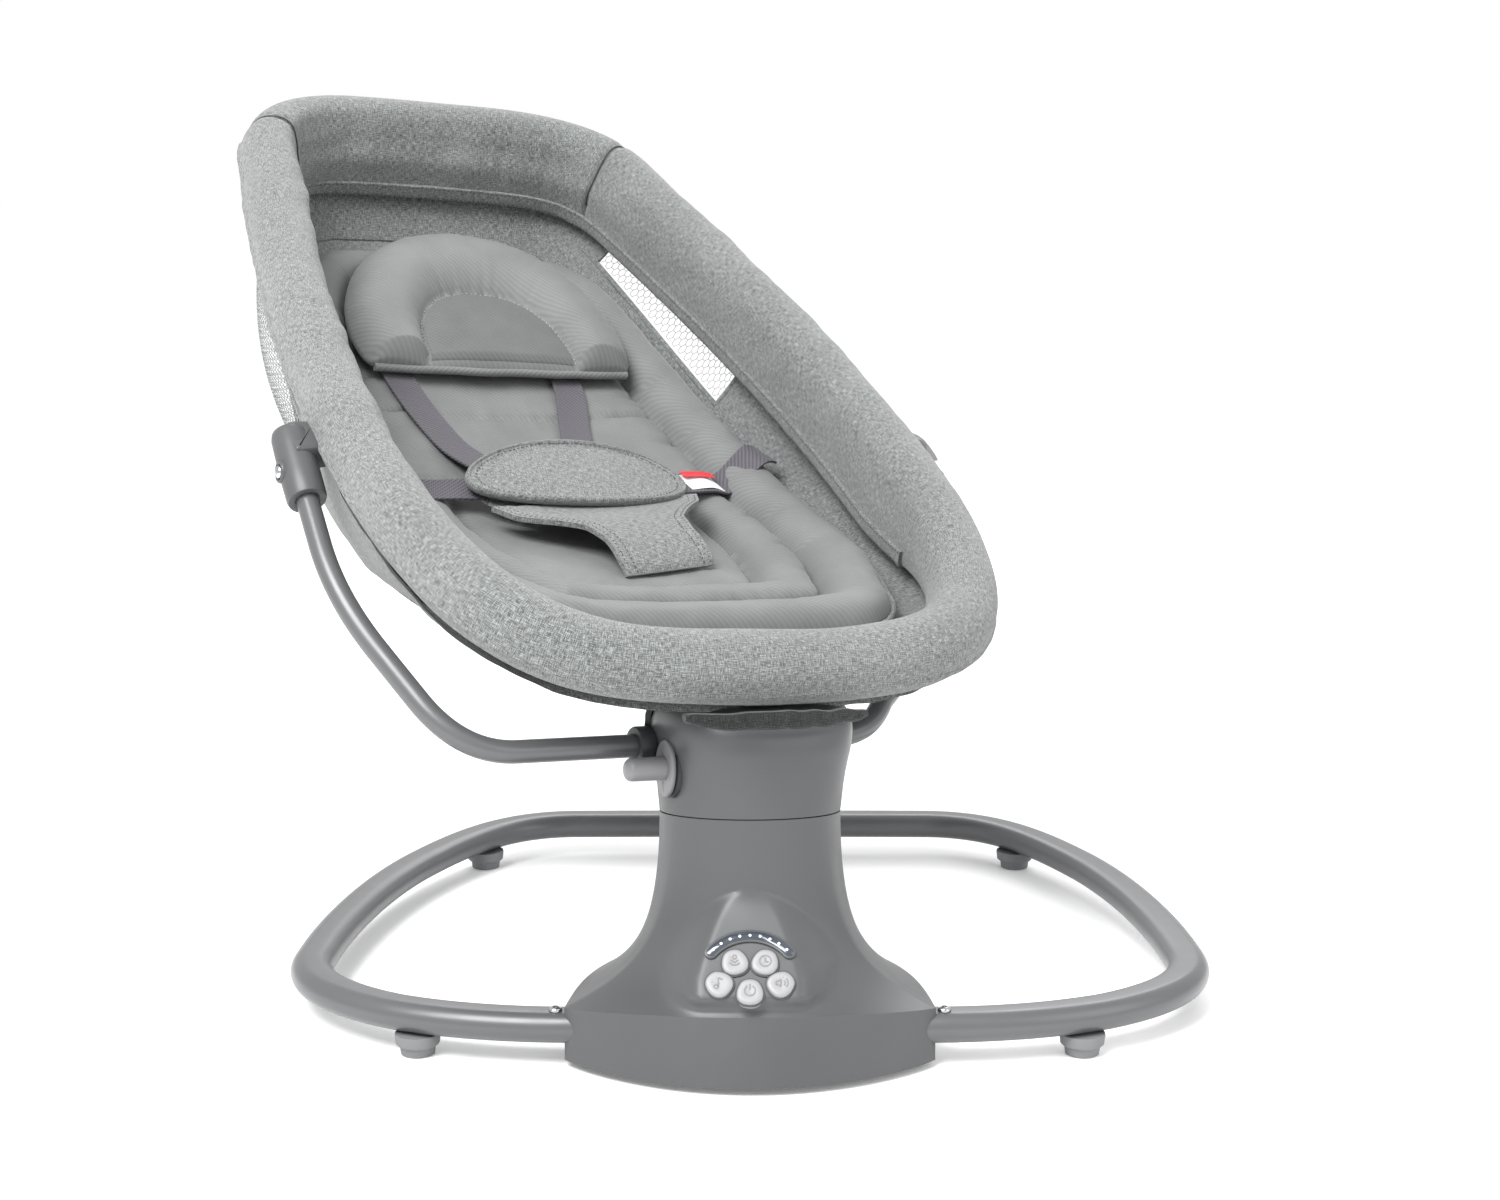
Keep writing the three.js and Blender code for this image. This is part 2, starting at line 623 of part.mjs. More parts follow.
// A brake disc on the barrel: the lock shoe bears on its rim and holds any recline angle.
function lockPlate() {
  const disc = rod(LOCK.r, LOCK.x, LOCK.x + LOCK.thick, 28);
  const bore = rod(BARREL_R + 0.05, LOCK.x - 1, LOCK.x + LOCK.thick + 1, 20);
  return cut(disc, bore);
}
place("recline_lock_plate", "steel", barrelAt(lockPlate()), head);

// The shoe's curved top follows the disc's rim, and its carrier reaches over to the lever's tongue.
const SHOE_TOP = PIVOT_LOCAL.z - LOCK.r;
const CARRIER_LOW = SHOE_TOP - LOCK.shoulder - LOCK.seat;
function lockShoe() {
  const wide = LOCK.shoeWide;
  const ends = [LOCK.x + 0.6, LOCK.x + LOCK.thick - 0.6];
  const block = box(ends[0], ends[1], PIVOT_LOCAL.y - wide, PIVOT_LOCAL.y + wide, CARRIER_LOW, SHOE_TOP + LOCK.shoeDeep);
  const carrier = box(LOCK.x - 4, ends[1], LEVER.y - 5, PIVOT_LOCAL.y, CARRIER_LOW, CARRIER_LOW + LOCK.seat);
  const rimSpace = barrelAt(rod(LOCK.r + GAP, LOCK.x - 5, LOCK.x + LOCK.thick + 1, 56));
  return cut(join(block, carrier), rimSpace);
}
place("lock_shoe", "steel", lockShoe(), head);

// The lever: an oval plate outside the shell, a peg for the thumb and a tongue through the slot.
function reclineLever() {
  const face = 66.4;
  const oval = slab(ovalShape(LEVER.plateHigh / 2, LEVER.plateWide / 2), 3.4, 10);
  const plate = oval.rotateY(-Math.PI / 2).translate(-face, LEVER.y, LEVER.z);
  const peg = rod(LEVER.pegR, -face - 3 - LEVER.pegLong, -face - 2, 16).translate(0, LEVER.y, LEVER.z);
  const tongue = box(-face - 1, LOCK.x - 4 - GAP, LEVER.y - 5, LEVER.y + 5, CARRIER_LOW, CARRIER_LOW + 6);
  return join(plate, peg, tongue);
}
place("recline_lever", "light_plastic", reclineLever(), head);

// The spring that pushes the lever up.
function leverSpring() {
  const turns = 3;
  const low = 5;
  const high = CARRIER_LOW - GAP;
  const route = new Route((t) => {
    const a = t * turns * 2 * Math.PI;
    return new THREE.Vector3(-50 + 3.6 * Math.cos(a), LEVER.y + 3.6 * Math.sin(a), lerp(low, high - 0.8, t));
  });
  return along(route, discShape(0.7), 30, 2);
}
place("lever_spring", "steel", leverSpring(), head);

// ---------------------------------------------------------------- yoke arms
// In the yoke's own plane: X across, Y along the rise to the hub. The left arm runs out straight
// before it turns up, and the right arm turns up as soon as it leaves the barrel.
const ARM_BENDS = {
  left: { out: 158, corner: [195, 0], turned: [213, 40], rising: [231, 82], upright: [ARM.side, 124] },
  right: { out: 80, corner: [107, 0], turned: [127, 26], rising: [208, 93], upright: [ARM.side, 128] },
};
function armRoute(word, side) {
  const bends = ARM_BENDS[word];
  const v = (x, y) => new THREE.Vector3(side * x, y, 0);
  const path = new THREE.CurvePath();
  path.add(new THREE.LineCurve3(v(34, 0), v(bends.out, 0)));
  path.add(new THREE.QuadraticBezierCurve3(v(bends.out, 0), v(...bends.corner), v(...bends.turned)));
  path.add(new THREE.LineCurve3(v(...bends.turned), v(...bends.rising)));
  path.add(new THREE.QuadraticBezierCurve3(v(...bends.rising), v(...bends.upright), v(ARM.side, 168)));
  path.add(new THREE.LineCurve3(v(ARM.side, 168), v(ARM.side, ARM.end)));
  return path;
}

const SNAP_AT = 229; // along the rise
const SNAP_R = 4.5;
const SNAP_TRAVEL = 3;

function arm(word, side) {
  const reach = side * (ARM.side + 10);
  const hole = rod(SNAP_R + GAP / 2, reach - 10, reach + 10, 12).translate(0, SNAP_AT, 0);
  const tube = along(armRoute(word, side), ringShape(ARM.r, ARM.r - ARM.wall), 22, 4);
  return cut(tube, hole);
}

// The hub: a socket over the arm's end, a block on the rim frame and a spigot into each half of the rim tube.
function hubSocket(side) {
  const tilt = ARM.rise - SEAT_PITCH;
  const lengthwise = (g) => g.rotateX(-Math.PI / 2);
  const shell = lengthwise(drum(13, -48, 8, 18, 11.4)).rotateX(tilt);
  const collar = lengthwise(drum(14.5, -50, -46, 18)).rotateX(tilt);
  const block = box(-30, 0, -6.6, 6.6, -8, 11).translate(0, 0, 2);
  const spigots = lengthwise(drum(RIM_TUBE.r - RIM_TUBE.wall - 1.1, -18, 18, 10));
  const bore = lengthwise(drum(ARM.r + GAP / 2, -60, -7.5, 16)).rotateX(tilt);
  const snap = rod(SNAP_R + GAP / 2, 0, 20, 12).translate(0, -(ARM.hub - SNAP_AT) * Math.cos(tilt), -(ARM.hub - SNAP_AT) * Math.sin(tilt));
  const rimOffset = ARM.side - RIM.half;
  const body = join(shell, collar, block, box(-rimOffset - 7.6, -12, -6.6, 6.6, 4, 19));
  const made = cut(body, bore, snap);
  const hub = join(made, spigots.translate(-rimOffset, 0, -HUB.z));
  if (side < 0) hub.scale(-1, 1, 1);
  return hub.translate(side * ARM.side, HUB.y, HUB.z);
}

function snapButton(side) {
  const body = rod(SNAP_R, ARM.side + 1, ARM.side + 15.5, 12, SNAP_R - 0.8).translate(0, SNAP_AT, 0);
  if (side < 0) body.scale(-1, 1, 1);
  return body;
}

for (const [word, side] of [["left", -1], ["right", 1]]) {
  place(`seat_arm_${word}`, "tube_paint", arm(word, side), yoke);
  place(`hub_socket_${word}`, "housing", tidy(hubSocket(side)), seat);
  place(`snap_button_${word}`, "chrome", tidy(snapButton(side)), yoke);
}

// ---------------------------------------------------------------- seat rim
// The rim's centre line in its own plane, counter-clockwise from the middle of the foot end.
function rimPlan() {
  const plan = new THREE.Path();
  const right = [
    [[66, RIM.foot], [122, -28], [158, 8]],
    [[197, 47], [RIM.half, 118], [RIM.half, 215]],
    [[RIM.half, 350], [192, 470], [161, 606]],
    [[150, 656], [124, 679], [72, 682]],
    [[46, RIM.head], [22, RIM.head], [0, RIM.head]],
  ];
  plan.moveTo(0, RIM.foot);
  for (const [c1, c2, end] of right) plan.bezierCurveTo(...c1, ...c2, ...end);
  for (const [k, [c1, c2]] of [...right.entries()].reverse()) {
    const end = k > 0 ? right[k - 1][2] : [0, RIM.foot];
    plan.bezierCurveTo(-c2[0], c2[1], -c1[0], c1[1], -end[0], end[1]);
  }
  return plan;
}
const rim = rimPlan();
rim.arcLengthDivisions = 600;

// A point offset outwards by n and upwards by w from the rim's centre line.
function rimPoint(t, n, w) {
  const u = ((t % 1) + 1) % 1;
  const p = rim.getPointAt(u);
  const d = rim.getTangentAt(u);
  return new THREE.Vector3(p.x + d.y * n, p.y - d.x * n, w);
}

// Where the right half of the rim passes a given distance from the foot end.
function rimShare(y) {
  let [low, high] = [0, 0.5];
  for (let i = 0; i < 40; i += 1) {
    const mid = (low + high) / 2;
    if (rim.getPointAt(mid).y < y) low = mid;
    else high = mid;
  }
  return (low + high) / 2;
}
const rimHalf = (y) => rim.getPointAt(rimShare(y)).x;

// Stations along the rim, closer together where it bends.
function rimStations() {
  const fine = 900;
  const found = [];
  let due = 0.5;
  for (let i = 0; i < fine / 2; i += 1) {
    const bend = rim.getTangentAt(i / fine).angleTo(rim.getTangentAt((i + 1) / fine));
    due += bend / (19 * DEG) + 1 / 50;
    if (due >= 1) {
      found.push(i / fine);
      due -= 1;
    }
  }
  return [...found.map((t) => -t).reverse(), ...found, ...found.map((t) => 1 - t).reverse()];
}
const STATIONS = rimStations();
function stationsBetween(from, to) {
  const clear = 0.004;
  return [from, ...STATIONS.filter((t) => t > from + clear && t < to - clear), to];
}

const hubShare = [rimShare(HUB.y - 7), rimShare(HUB.y + 7)];
function rimTube(from, to) {
  const circle = (t, r) =>
    steps(9).map((k) => rimPoint(t, r * Math.cos((k * 2 * Math.PI) / 9), r * Math.sin((k * 2 * Math.PI) / 9)));
  const outside = stationsBetween(from, to).map((t) => circle(t, RIM_TUBE.r));
  const inside = stationsBetween(from, to).map((t) => circle(t, RIM_TUBE.r - RIM_TUBE.wall));
  return tidy(loft([...outside, ...inside.reverse()], true));
}
place("rim_tube_head", "steel", rimTube(hubShare[1], 1 - hubShare[1]), seat);
place("rim_tube_foot", "steel", rimTube(-hubShare[0], hubShare[0]), seat);

// ---------------------------------------------------------------- padded bumper round the rim
// How far the inner skirt hangs below the roll: nothing at the foot end, deepest along the head half.
function skirtDepth(y) {
  return 3 + 27 * THREE.MathUtils.smoothstep(y, 40, 200);
}

// The bumper's section, a thick C that is open underneath, as [outwards, up] pairs.
function bumperSection(t) {
  const y = rimPoint(t, 0, 0).y;
  const skirt = skirtDepth(y);
  const inside = RIM_TUBE.r + 1.6;
  const arc = (r, from, to, n) =>
    steps(n + 1).map((k) => {
      const a = lerp(from, to, k / n) * DEG;
      return [r * Math.sin(a), r * Math.cos(a)];
    });
  const outer = arc(24, 168, -110, 9);
  const hanging = [
    [-22, -12 - skirt * 0.5],
    [-17, -20 - skirt],
    [-11, -20 - skirt],
    [-5, -17],
  ];
  const inner = arc(inside, -150, 150, 7);
  return [...outer, ...hanging, ...inner, [5, -16]];
}

function bumper(from, to) {
  return loft(stationsBetween(from, to).map((t) => bumperSection(t).map(([n, w]) => rimPoint(t, n, w))));
}

const seamShare = rimShare(CORNER_SEAM_Y);
const hubNotches = [-1, 1].map((side) => {
  const reach = [RIM.half - 9, ARM.side + 5].map((x) => side * x);
  return box(Math.min(...reach), Math.max(...reach), HUB.y - 7.2, HUB.y + 7.2, -30, 9.8);
});
const socketSpace = [-1, 1].map((side) =>
  drum(15, -54, 12, 18).rotateX(-Math.PI / 2 + ARM.rise - SEAT_PITCH).translate(side * ARM.side, HUB.y, HUB.z),
);
const wrap = bumper(-seamShare + 0.0006, seamShare - 0.0006);
place("bumper_wrap", "heather", cut(wrap, ...hubNotches, ...socketSpace), seat);
place("bumper_head", "heather", tidy(bumper(seamShare + 0.0006, 1 - seamShare - 0.0006)), seat);

// ---------------------------------------------------------------- fabric tub
// The tub's floor below the rim plane, by distance from the foot end.
function floorDepth(y) {
  const fall = THREE.MathUtils.smoothstep(y, -120, 330);
  const rise = THREE.MathUtils.smoothstep(y, 380, 760);
  return -(8 + 116 * fall) + 44 * rise;
}

// A point of the tub's wall: v runs from under the bumper (0) to the floor's edge (1).
function wallPoint(t, v, out) {
  const y = rimPoint(t, 0, 0).y;
  const low = floorDepth(y);
  const n = lerp(7, -36, v) + 7 * Math.sin(Math.PI * v);
  return rimPoint(t, n + out, lerp(-29, low, v));
}

function wallPatch(t0, t1, v0, v1, out0, out1, across, down, belly = 0) {
  const rings = steps(across + 1).map((k) => {
    const t = lerp(t0, t1, k / across);
    const bow = belly * Math.sin((Math.PI * k) / across);
    const edge = (out, order) => order.map((j) => {
      const v = lerp(v0, v1, j / down);
      return wallPoint(t, v, out + bow * Math.sin((Math.PI * j) / down));
    });
    const order = steps(down + 1);
    return [...edge(out1, order), ...edge(out0, [...order].reverse())];
  });
  return loft(rings);
}

const WALL_FROM = rimShare(48);
const WALL_TO = rimShare(612);
const WINDOW = { from: rimShare(292), to: rimShare(566), top: 0.1, low: 0.78 };
const WINDOW_EDGE = 0.0006;

function tubWall(mirror) {
  const share = (t) => (mirror ? 1 - t : t);
  const wall = wallPatch(share(WALL_FROM), share(WALL_TO), 0, 1, 0, WALL, 14, 4);
  const opening = wallPatch(share(WINDOW.from), share(WINDOW.to), WINDOW.top, WINDOW.low, -6, WALL + 6, 8, 4);
  return cut(wall, opening);
}
function meshWindow(mirror) {
  const share = (t) => (mirror ? 1 - t : t);
  const from = share(WINDOW.from + WINDOW_EDGE);
  const to = share(WINDOW.to - WINDOW_EDGE);
  return wallPatch(from, to, WINDOW.top + 0.01, WINDOW.low - 0.01, 0.5, 2.5, 8, 4, 6);
}
place("tub_wall_left", "heather", tubWall(true), seat);
place("tub_wall_right", "heather", tubWall(false), seat);
place("mesh_window_left", "mesh", tidy(meshWindow(true)), seat);
place("mesh_window_right", "mesh", tidy(meshWindow(false)), seat);
const headWall = wallPatch(WALL_TO + 0.001, 1 - WALL_TO - 0.001, 0, 1, 0, WALL, 12, 3);
place("tub_wall_head", "heather", tidy(headWall), seat);

// A closed slab across the tub through stations along its length.
function crossSlab(stations, half, low, high) {
  return loft(
    stations.map((y) => {
      const h = half(y);
      const [a, b] = [low(y), high(y)];
      const outline = [
        [-h, (a + b) / 2],
        [-h * 0.94, a],
        [h * 0.94, a],
        [h, (a + b) / 2],
        [h * 0.9, b - 2],
        [h * 0.5, b],
        [-h * 0.5, b],
        [-h * 0.9, b - 2],
      ];
      return outline.map(([x, w]) => new THREE.Vector3(x, y, w));
    }),
  );
}

const spread = (from, to, count) => steps(count + 1).map((k) => lerp(from, to, k / count));
const floorHalf = (y) => rimHalf(y) - 38;
const tubFloor = crossSlab(spread(4, 632, 14), floorHalf, (y) => floorDepth(y) - 4, floorDepth);
place("tub_floor", "heather", tidy(tubFloor), seat);

// ---------------------------------------------------------------- seat pad, pillow and harness
function rounded(share) {
  return share >= 1 ? 1 : Math.sqrt(1 - (1 - clamp(share, 0.02, 1)) ** 2);
}
function padHalf(y) {
  const ends = rounded((y - PAD.foot + 4) / 60) * rounded((PAD.head + 3 - y) / 70);
  return Math.min(PAD.half, rimHalf(y) - 42) * ends;
}
const padStations = [PAD.foot, 46, 58, 76, 100, ...spread(140, 560, 8), 590, 615, 630, PAD.head];
const padBottom = (y) => floorDepth(y) + 4;
const padTop = (y) => padBottom(y) + PAD.thick;
const seatPad = crossSlab(padStations, padHalf, padBottom, padTop);
place("seat_pad", "twill", tidy(seatPad), seat);

const PILLOW = { from: 444, to: 606, half: 118, lift: 5, thick: 24 };
function pillowHalf(y) {
  const low = rounded((y - PILLOW.from + 3) / 16);
  const high = rounded((PILLOW.to + 3 - y) / 100);
  return PILLOW.half * Math.min(low, high);
}
const pillowStations = [PILLOW.from, 448, 456, 480, 510, 540, 565, 585, 598, PILLOW.to];
const pillowLow = (y) => padTop(y) + PILLOW.lift;
const pillow = crossSlab(pillowStations, pillowHalf, pillowLow, (y) => pillowLow(y) + PILLOW.thick);
place("head_pillow", "twill", tidy(pillow), seat);

// A flat strap through points [x, y, height over the pad], with its own widths.
function strap(points, wide = BAND.wide, thick = BAND.thick) {
  const centres = points.map(([x, y, lift]) => new THREE.Vector3(x, y, padTop(y) + lift));
  const rings = centres.map((p, k) => {
    const before = centres[Math.max(0, k - 1)];
    const after = centres[Math.min(centres.length - 1, k + 1)];
    const run = after.clone().sub(before).normalize();
    const half = (Array.isArray(wide) ? wide[k] : wide) / 2;
    const sideways = new THREE.Vector3(run.y, -run.x, 0).normalize().multiplyScalar(half);
    const up = new THREE.Vector3(0, 0, thick);
    return [
      p.clone().sub(sideways),
      p.clone().add(sideways),
      p.clone().add(sideways).add(up),
      p.clone().sub(sideways).add(up),
    ];
  });
  return loft(rings);
}

const BUCKLE = { x: -2, y: 272, half: 26, thick: 9, lift: 6 };
const shoulder = {
  left: [[-84, 462, 1], [-80, 420, 1], [-74, 380, 1], [-66, 345, 2], [-52, 312, 5]],
  right: [[62, 462, 1], [54, 420, 1], [42, 380, 1], [32, 345, 2], [26, 312, 5]],
};
const waist = {
  left: [[-158, 300, 1], [-130, 292, 1], [-100, 284, 3], [-62, 276, 5], [-32, 272, 5]],
  right: [[158, 306, 1], [130, 298, 1], [96, 288, 3], [60, 278, 5], [30, 272, 5]],
};
for (const word of ["left", "right"]) {
  place(`shoulder_strap_${word}`, "webbing", tidy(strap(shoulder[word])), seat);
  place(`waist_strap_${word}`, "webbing", tidy(strap(waist[word])), seat);
}
const crotchRun = [[14, 150, 9], [13, 166, 12], [10, 190, 14], [4, 210, 12], [0, 229, 8]];
place("crotch_strap", "heather", tidy(strap(crotchRun, [78, 78, 84, 120, 160], 4)), seat);

function buckle() {
  const shape = ovalShape(BUCKLE.half, BUCKLE.half * 0.85);
  const disc = slab(shape, BUCKLE.thick, 8);
  return disc.translate(BUCKLE.x, BUCKLE.y + 2, padTop(BUCKLE.y) + BUCKLE.lift);
}
place("harness_buckle", "buckle", tidy(buckle()), seat);

function buckleCover() {
  const shape = ovalShape(88, 38);
  const lift = padTop(BUCKLE.y) + BUCKLE.lift + BUCKLE.thick + 3;
  return slab(shape, 5, 10).translate(BUCKLE.x - 1, BUCKLE.y, lift);
}
place("buckle_cover", "heather", tidy(buckleCover()), seat);

// ---------------------------------------------------------------- origin: middle of the whole, on the floor
assembly.updateMatrixWorld(true);
const extent = new THREE.Box3().setFromObject(assembly, true);
const middle = extent.getCenter(new THREE.Vector3());
assembly.position.set(-middle.x, -middle.y, -extent.min.z);

const product = new THREE.Group();
product.add(assembly);
export default product;
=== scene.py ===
import json
import math

import bmesh
import bpy
import numpy as np
from mathutils import Matrix, Vector, noise


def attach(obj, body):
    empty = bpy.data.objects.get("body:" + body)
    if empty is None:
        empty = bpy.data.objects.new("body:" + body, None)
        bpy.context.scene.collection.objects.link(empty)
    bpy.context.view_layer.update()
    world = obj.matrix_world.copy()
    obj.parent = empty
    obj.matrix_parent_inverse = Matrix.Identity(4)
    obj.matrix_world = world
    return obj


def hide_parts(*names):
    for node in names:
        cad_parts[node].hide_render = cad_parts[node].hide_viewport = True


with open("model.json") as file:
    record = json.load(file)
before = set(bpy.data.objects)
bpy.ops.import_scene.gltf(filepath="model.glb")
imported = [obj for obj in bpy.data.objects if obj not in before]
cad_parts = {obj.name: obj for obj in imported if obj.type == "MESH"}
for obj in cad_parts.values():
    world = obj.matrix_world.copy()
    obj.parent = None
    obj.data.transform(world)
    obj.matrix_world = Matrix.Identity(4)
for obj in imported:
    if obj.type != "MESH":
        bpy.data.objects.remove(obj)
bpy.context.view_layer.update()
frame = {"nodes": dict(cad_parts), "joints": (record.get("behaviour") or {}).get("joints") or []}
MM = 0.001
SIDES = (("left", -1), ("right", 1))
DEG = math.pi / 180

# ---------------------------------------------------------------- dimensions of the object, in millimetres
RING_Z = 150  # the ring between column and head, above the floor
RIM_Z = 266  # the seat's rim plane above the column's foot
SEAT_PITCH = 28 * DEG
ARM_RISE = 42.9 * DEG
COLUMN_R = 59.4
CORNER_X, CORNER_Y, CORNER_Z = 118, -72, 37
CREASE_Y, CREASE_Z = -108, 46
FOOT_FRONT_Y, FOOT_Z, HOUSING_REAR_Y = -124, 5, 92
PANEL_Y, PANEL_Z, PANEL_TILT = -92, 77, 42.7 * DEG
PIVOT_Y, HEAD_TOP = 20, 71.5
LOOP_Z, LOOP_WIDE, LOOP_HIGH, LOOP_REAR_Y = 25, 29, 20, 430
RIM_FOOT, RIM_HEAD, RIM_HALF = -31, 684, 212
CORNER_SEAM_Y = 640
PAD_THICK, PAD_HALF, PAD_FOOT, PAD_HEAD = 25, 187, 36, 612

# ---------------------------------------------------------------- frames that carry the pieces
JOINTS = {j["name"]: j for j in frame["joints"]}
AXIS = Vector(JOINTS["swing"]["axis"]).normalized()
ACROSS = Vector(JOINTS["recline"]["axis"]).normalized()
RING = Vector(JOINTS["swing"]["pos_m"])
PIVOT = Vector(JOINTS["recline"]["pos_m"])
LEAN = math.acos(AXIS.z)
LEAN_Y = AXIS.cross(ACROSS)
UP_Y = math.cos(LEAN) * LEAN_Y + math.sin(LEAN) * AXIS
UP_Z = math.cos(LEAN) * AXIS - math.sin(LEAN) * LEAN_Y


def axes(origin, x, y, z):
    m = Matrix((x, y, z)).transposed().to_4x4()
    m.translation = origin
    return m


def tilted(origin, angle):
    y = math.cos(angle) * UP_Y + math.sin(angle) * UP_Z
    z = math.cos(angle) * UP_Z - math.sin(angle) * UP_Y
    return axes(origin, ACROSS, y, z)


BASE = Matrix.Translation((RING.x, RING.y, RING.z - RING_Z * MM))
HEAD = axes(RING, ACROSS, LEAN_Y, AXIS)
SEAT = tilted(RING + UP_Z * (RIM_Z - RING_Z) * MM, SEAT_PITCH)
YOKE = tilted(PIVOT, ARM_RISE)
PANEL = (
    BASE
    @ Matrix.Translation((0, PANEL_Y * MM, PANEL_Z * MM))
    @ Matrix.Rotation(math.pi / 2 - PANEL_TILT, 4, "X")
)


# ---------------------------------------------------------------- small maths
def step(x, a, b):
    t = np.clip((np.asarray(x, float) - a) / (b - a), 0, 1)
    return t * t * (3 - 2 * t)


def bump(x, width):
    return np.exp(-((np.asarray(x, float) / width) ** 2))


def bezier(start, pieces, count=60):
    """A dense polyline through cubic pieces ((c1, c2, end), ...)."""
    out = [np.array([start], float)]
    p0 = np.array(start, float)
    for c1, c2, p3 in pieces:
        t = np.linspace(0, 1, count + 1)[1:, None]
        c1, c2, p3 = (np.array(p, float) for p in (c1, c2, p3))
        out.append((1 - t) ** 3 * p0 + 3 * (1 - t) ** 2 * t * c1 + 3 * (1 - t) * t * t * c2 + t**3 * p3)
        p0 = p3
    return np.vstack(out)


def resample(points, count, closed=False):
    """Points at equal steps along a polyline."""
    points = np.asarray(points, float)
    if closed:
        points = np.vstack([points, points[:1]])
    d = np.r_[0, np.cumsum(np.linalg.norm(np.diff(points, axis=0), axis=1))]
    at = np.linspace(0, d[-1], count + 1 if closed else count)
    if closed:
        at = at[:-1]
    return np.stack([np.interp(at, d, points[:, k]) for k in range(points.shape[1])], 1)


def rounded(points, count, closed=True):
    """A smooth curve through control points, as an even polyline."""
    p = np.asarray(points, float)
    n = len(p)
    out = []
    for i in range(n if closed else n - 1):
        a, b, c, d = (p[(i + k) % n] if closed else p[min(max(i + k, 0), n - 1)] for k in (-1, 0, 1, 2))
        t = np.linspace(0, 1, 13)[:-1, None]
        out.append(
            0.5
            * (2 * b + (c - a) * t + (2 * a - 5 * b + 4 * c - d) * t**2 + (3 * b - a - 3 * c + d) * t**3)
        )
    if not closed:
        out.append(p[-1:])
    return resample(np.vstack(out), count, closed)


# ---------------------------------------------------------------- mesh making
def make(name, verts, faces, matrix, material, body, replaces=(), sharp=40, uvs=None, closed=True):
    mesh = bpy.data.meshes.new(name)
    verts = np.asarray(verts, float) * MM
    mesh.from_pydata(verts.tolist(), [], faces)
    if uvs is not None:
        layer = mesh.uv_layers.new(name="cloth")
        for poly in mesh.polygons:
            for li in poly.loop_indices:
                layer.data[li].uv = uvs[mesh.loops[li].vertex_index]
    mesh.transform(matrix)
    if closed:
        bm = bmesh.new()
        bm.from_mesh(mesh)
        bmesh.ops.remove_doubles(bm, verts=bm.verts, dist=1e-6)
        bmesh.ops.recalc_face_normals(bm, faces=bm.faces)
        bm.to_mesh(mesh)
        bm.free()
    mesh.polygons.foreach_set("use_smooth", [True] * len(mesh.polygons))
    if sharp:
        mesh.set_sharp_from_angle(angle=sharp * DEG)
    obj = bpy.data.objects.new(name, mesh)
    bpy.context.scene.collection.objects.link(obj)
    mesh.materials.append(material[0])
    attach(obj, body)
    if replaces:
        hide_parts(*replaces)
    return obj


def grid(name, rows, matrix, material, body, wrap=True, caps=True, loop=False, flat=False, **more):
    """A surface through rows of points. Wrap closes each row, loop joins the last row to the first."""
    rows = np.asarray(rows, float)
    n, m, _ = rows.shape
    verts = rows.reshape(-1, 3)
    along = np.r_[0, np.cumsum(np.linalg.norm(np.diff(rows, axis=0), axis=2).mean(1))]
    around = np.zeros((n, m))
    around[:, 1:] = np.cumsum(np.linalg.norm(np.diff(rows, axis=1), axis=2), 1)
    uvs = np.stack([np.repeat(along[:, None], m, 1), around], 2).reshape(-1, 2) * MM
    if flat:
        uvs = verts[:, :2] * MM
    faces = []
    for i in range(n if loop else n - 1):
        i2 = (i + 1) % n
        for j in range(m if wrap else m - 1):
            j2 = (j + 1) % m
            faces.append((i * m + j, i * m + j2, i2 * m + j2, i2 * m + j))
    if caps and wrap and not loop:
        faces.append(tuple(range(m))[::-1])
        faces.append(tuple(range((n - 1) * m, n * m)))
    return make(name, verts, faces, matrix, material, body, uvs=uvs, closed=wrap and (caps or loop), **more)


def tube(name, path, section, matrix, material, body, up=(0, 0, 1), **more):
    """A section swept along a path: its first coordinate lies across the path, its second along up."""
    path = np.asarray(path, float)
    run = np.gradient(path, axis=0)
    run /= np.linalg.norm(run, axis=1)[:, None]
    up = np.asarray(up, float)
    side = np.cross(run, up)
    side /= np.linalg.norm(side, axis=1)[:, None]
    top = np.cross(side, run)
    section = np.asarray(section, float)
    rows = path[:, None] + side[:, None] * section[None, :, :1] + top[:, None] * section[None, :, 1:]
    return grid(name, rows, matrix, material, body, **more)


def circle(r, count=24):
    a = np.linspace(0, 2 * math.pi, count, endpoint=False)
    return np.stack([r * np.cos(a), r * np.sin(a)], 1)


def oval(wide, high, count=40):
    """A flat oval: two straight sides and two half circles."""
    r = high / 2
    flat = (wide - high) / 2
    a = np.linspace(-math.pi / 2, math.pi / 2, count // 2)
    right = np.stack([flat + r * np.cos(a), r * np.sin(a)], 1)
    return np.vstack([right, -right])


def spun(name, profile, matrix, material, body, count=40, squeeze=(1, 1), **more):
    """A profile of (radius, height) turned about Z."""
    a = np.linspace(0, 2 * math.pi, count, endpoint=False)
    rows = [
        np.stack([r * np.cos(a) * squeeze[0], r * np.sin(a) * squeeze[1], np.full(count, z)], 1)
        for r, z in profile
    ]
    return grid(name, rows, matrix, material, body, **more)


def capped(name, outline, levels, matrix, material, body, **more):
    """A flat shape with an edge: levels are (inset, height) from the bottom to the top."""
    outline = np.asarray(outline, float)
    nxt = np.roll(outline, -1, 0) - np.roll(outline, 1, 0)
    normal = np.stack([nxt[:, 1], -nxt[:, 0]], 1)
    normal /= np.linalg.norm(normal, axis=1)[:, None] + 1e-9
    rows = [np.column_stack([outline - normal * inset, np.full(len(outline), z)]) for inset, z in levels]
    return grid(name, rows, matrix, material, body, **more)


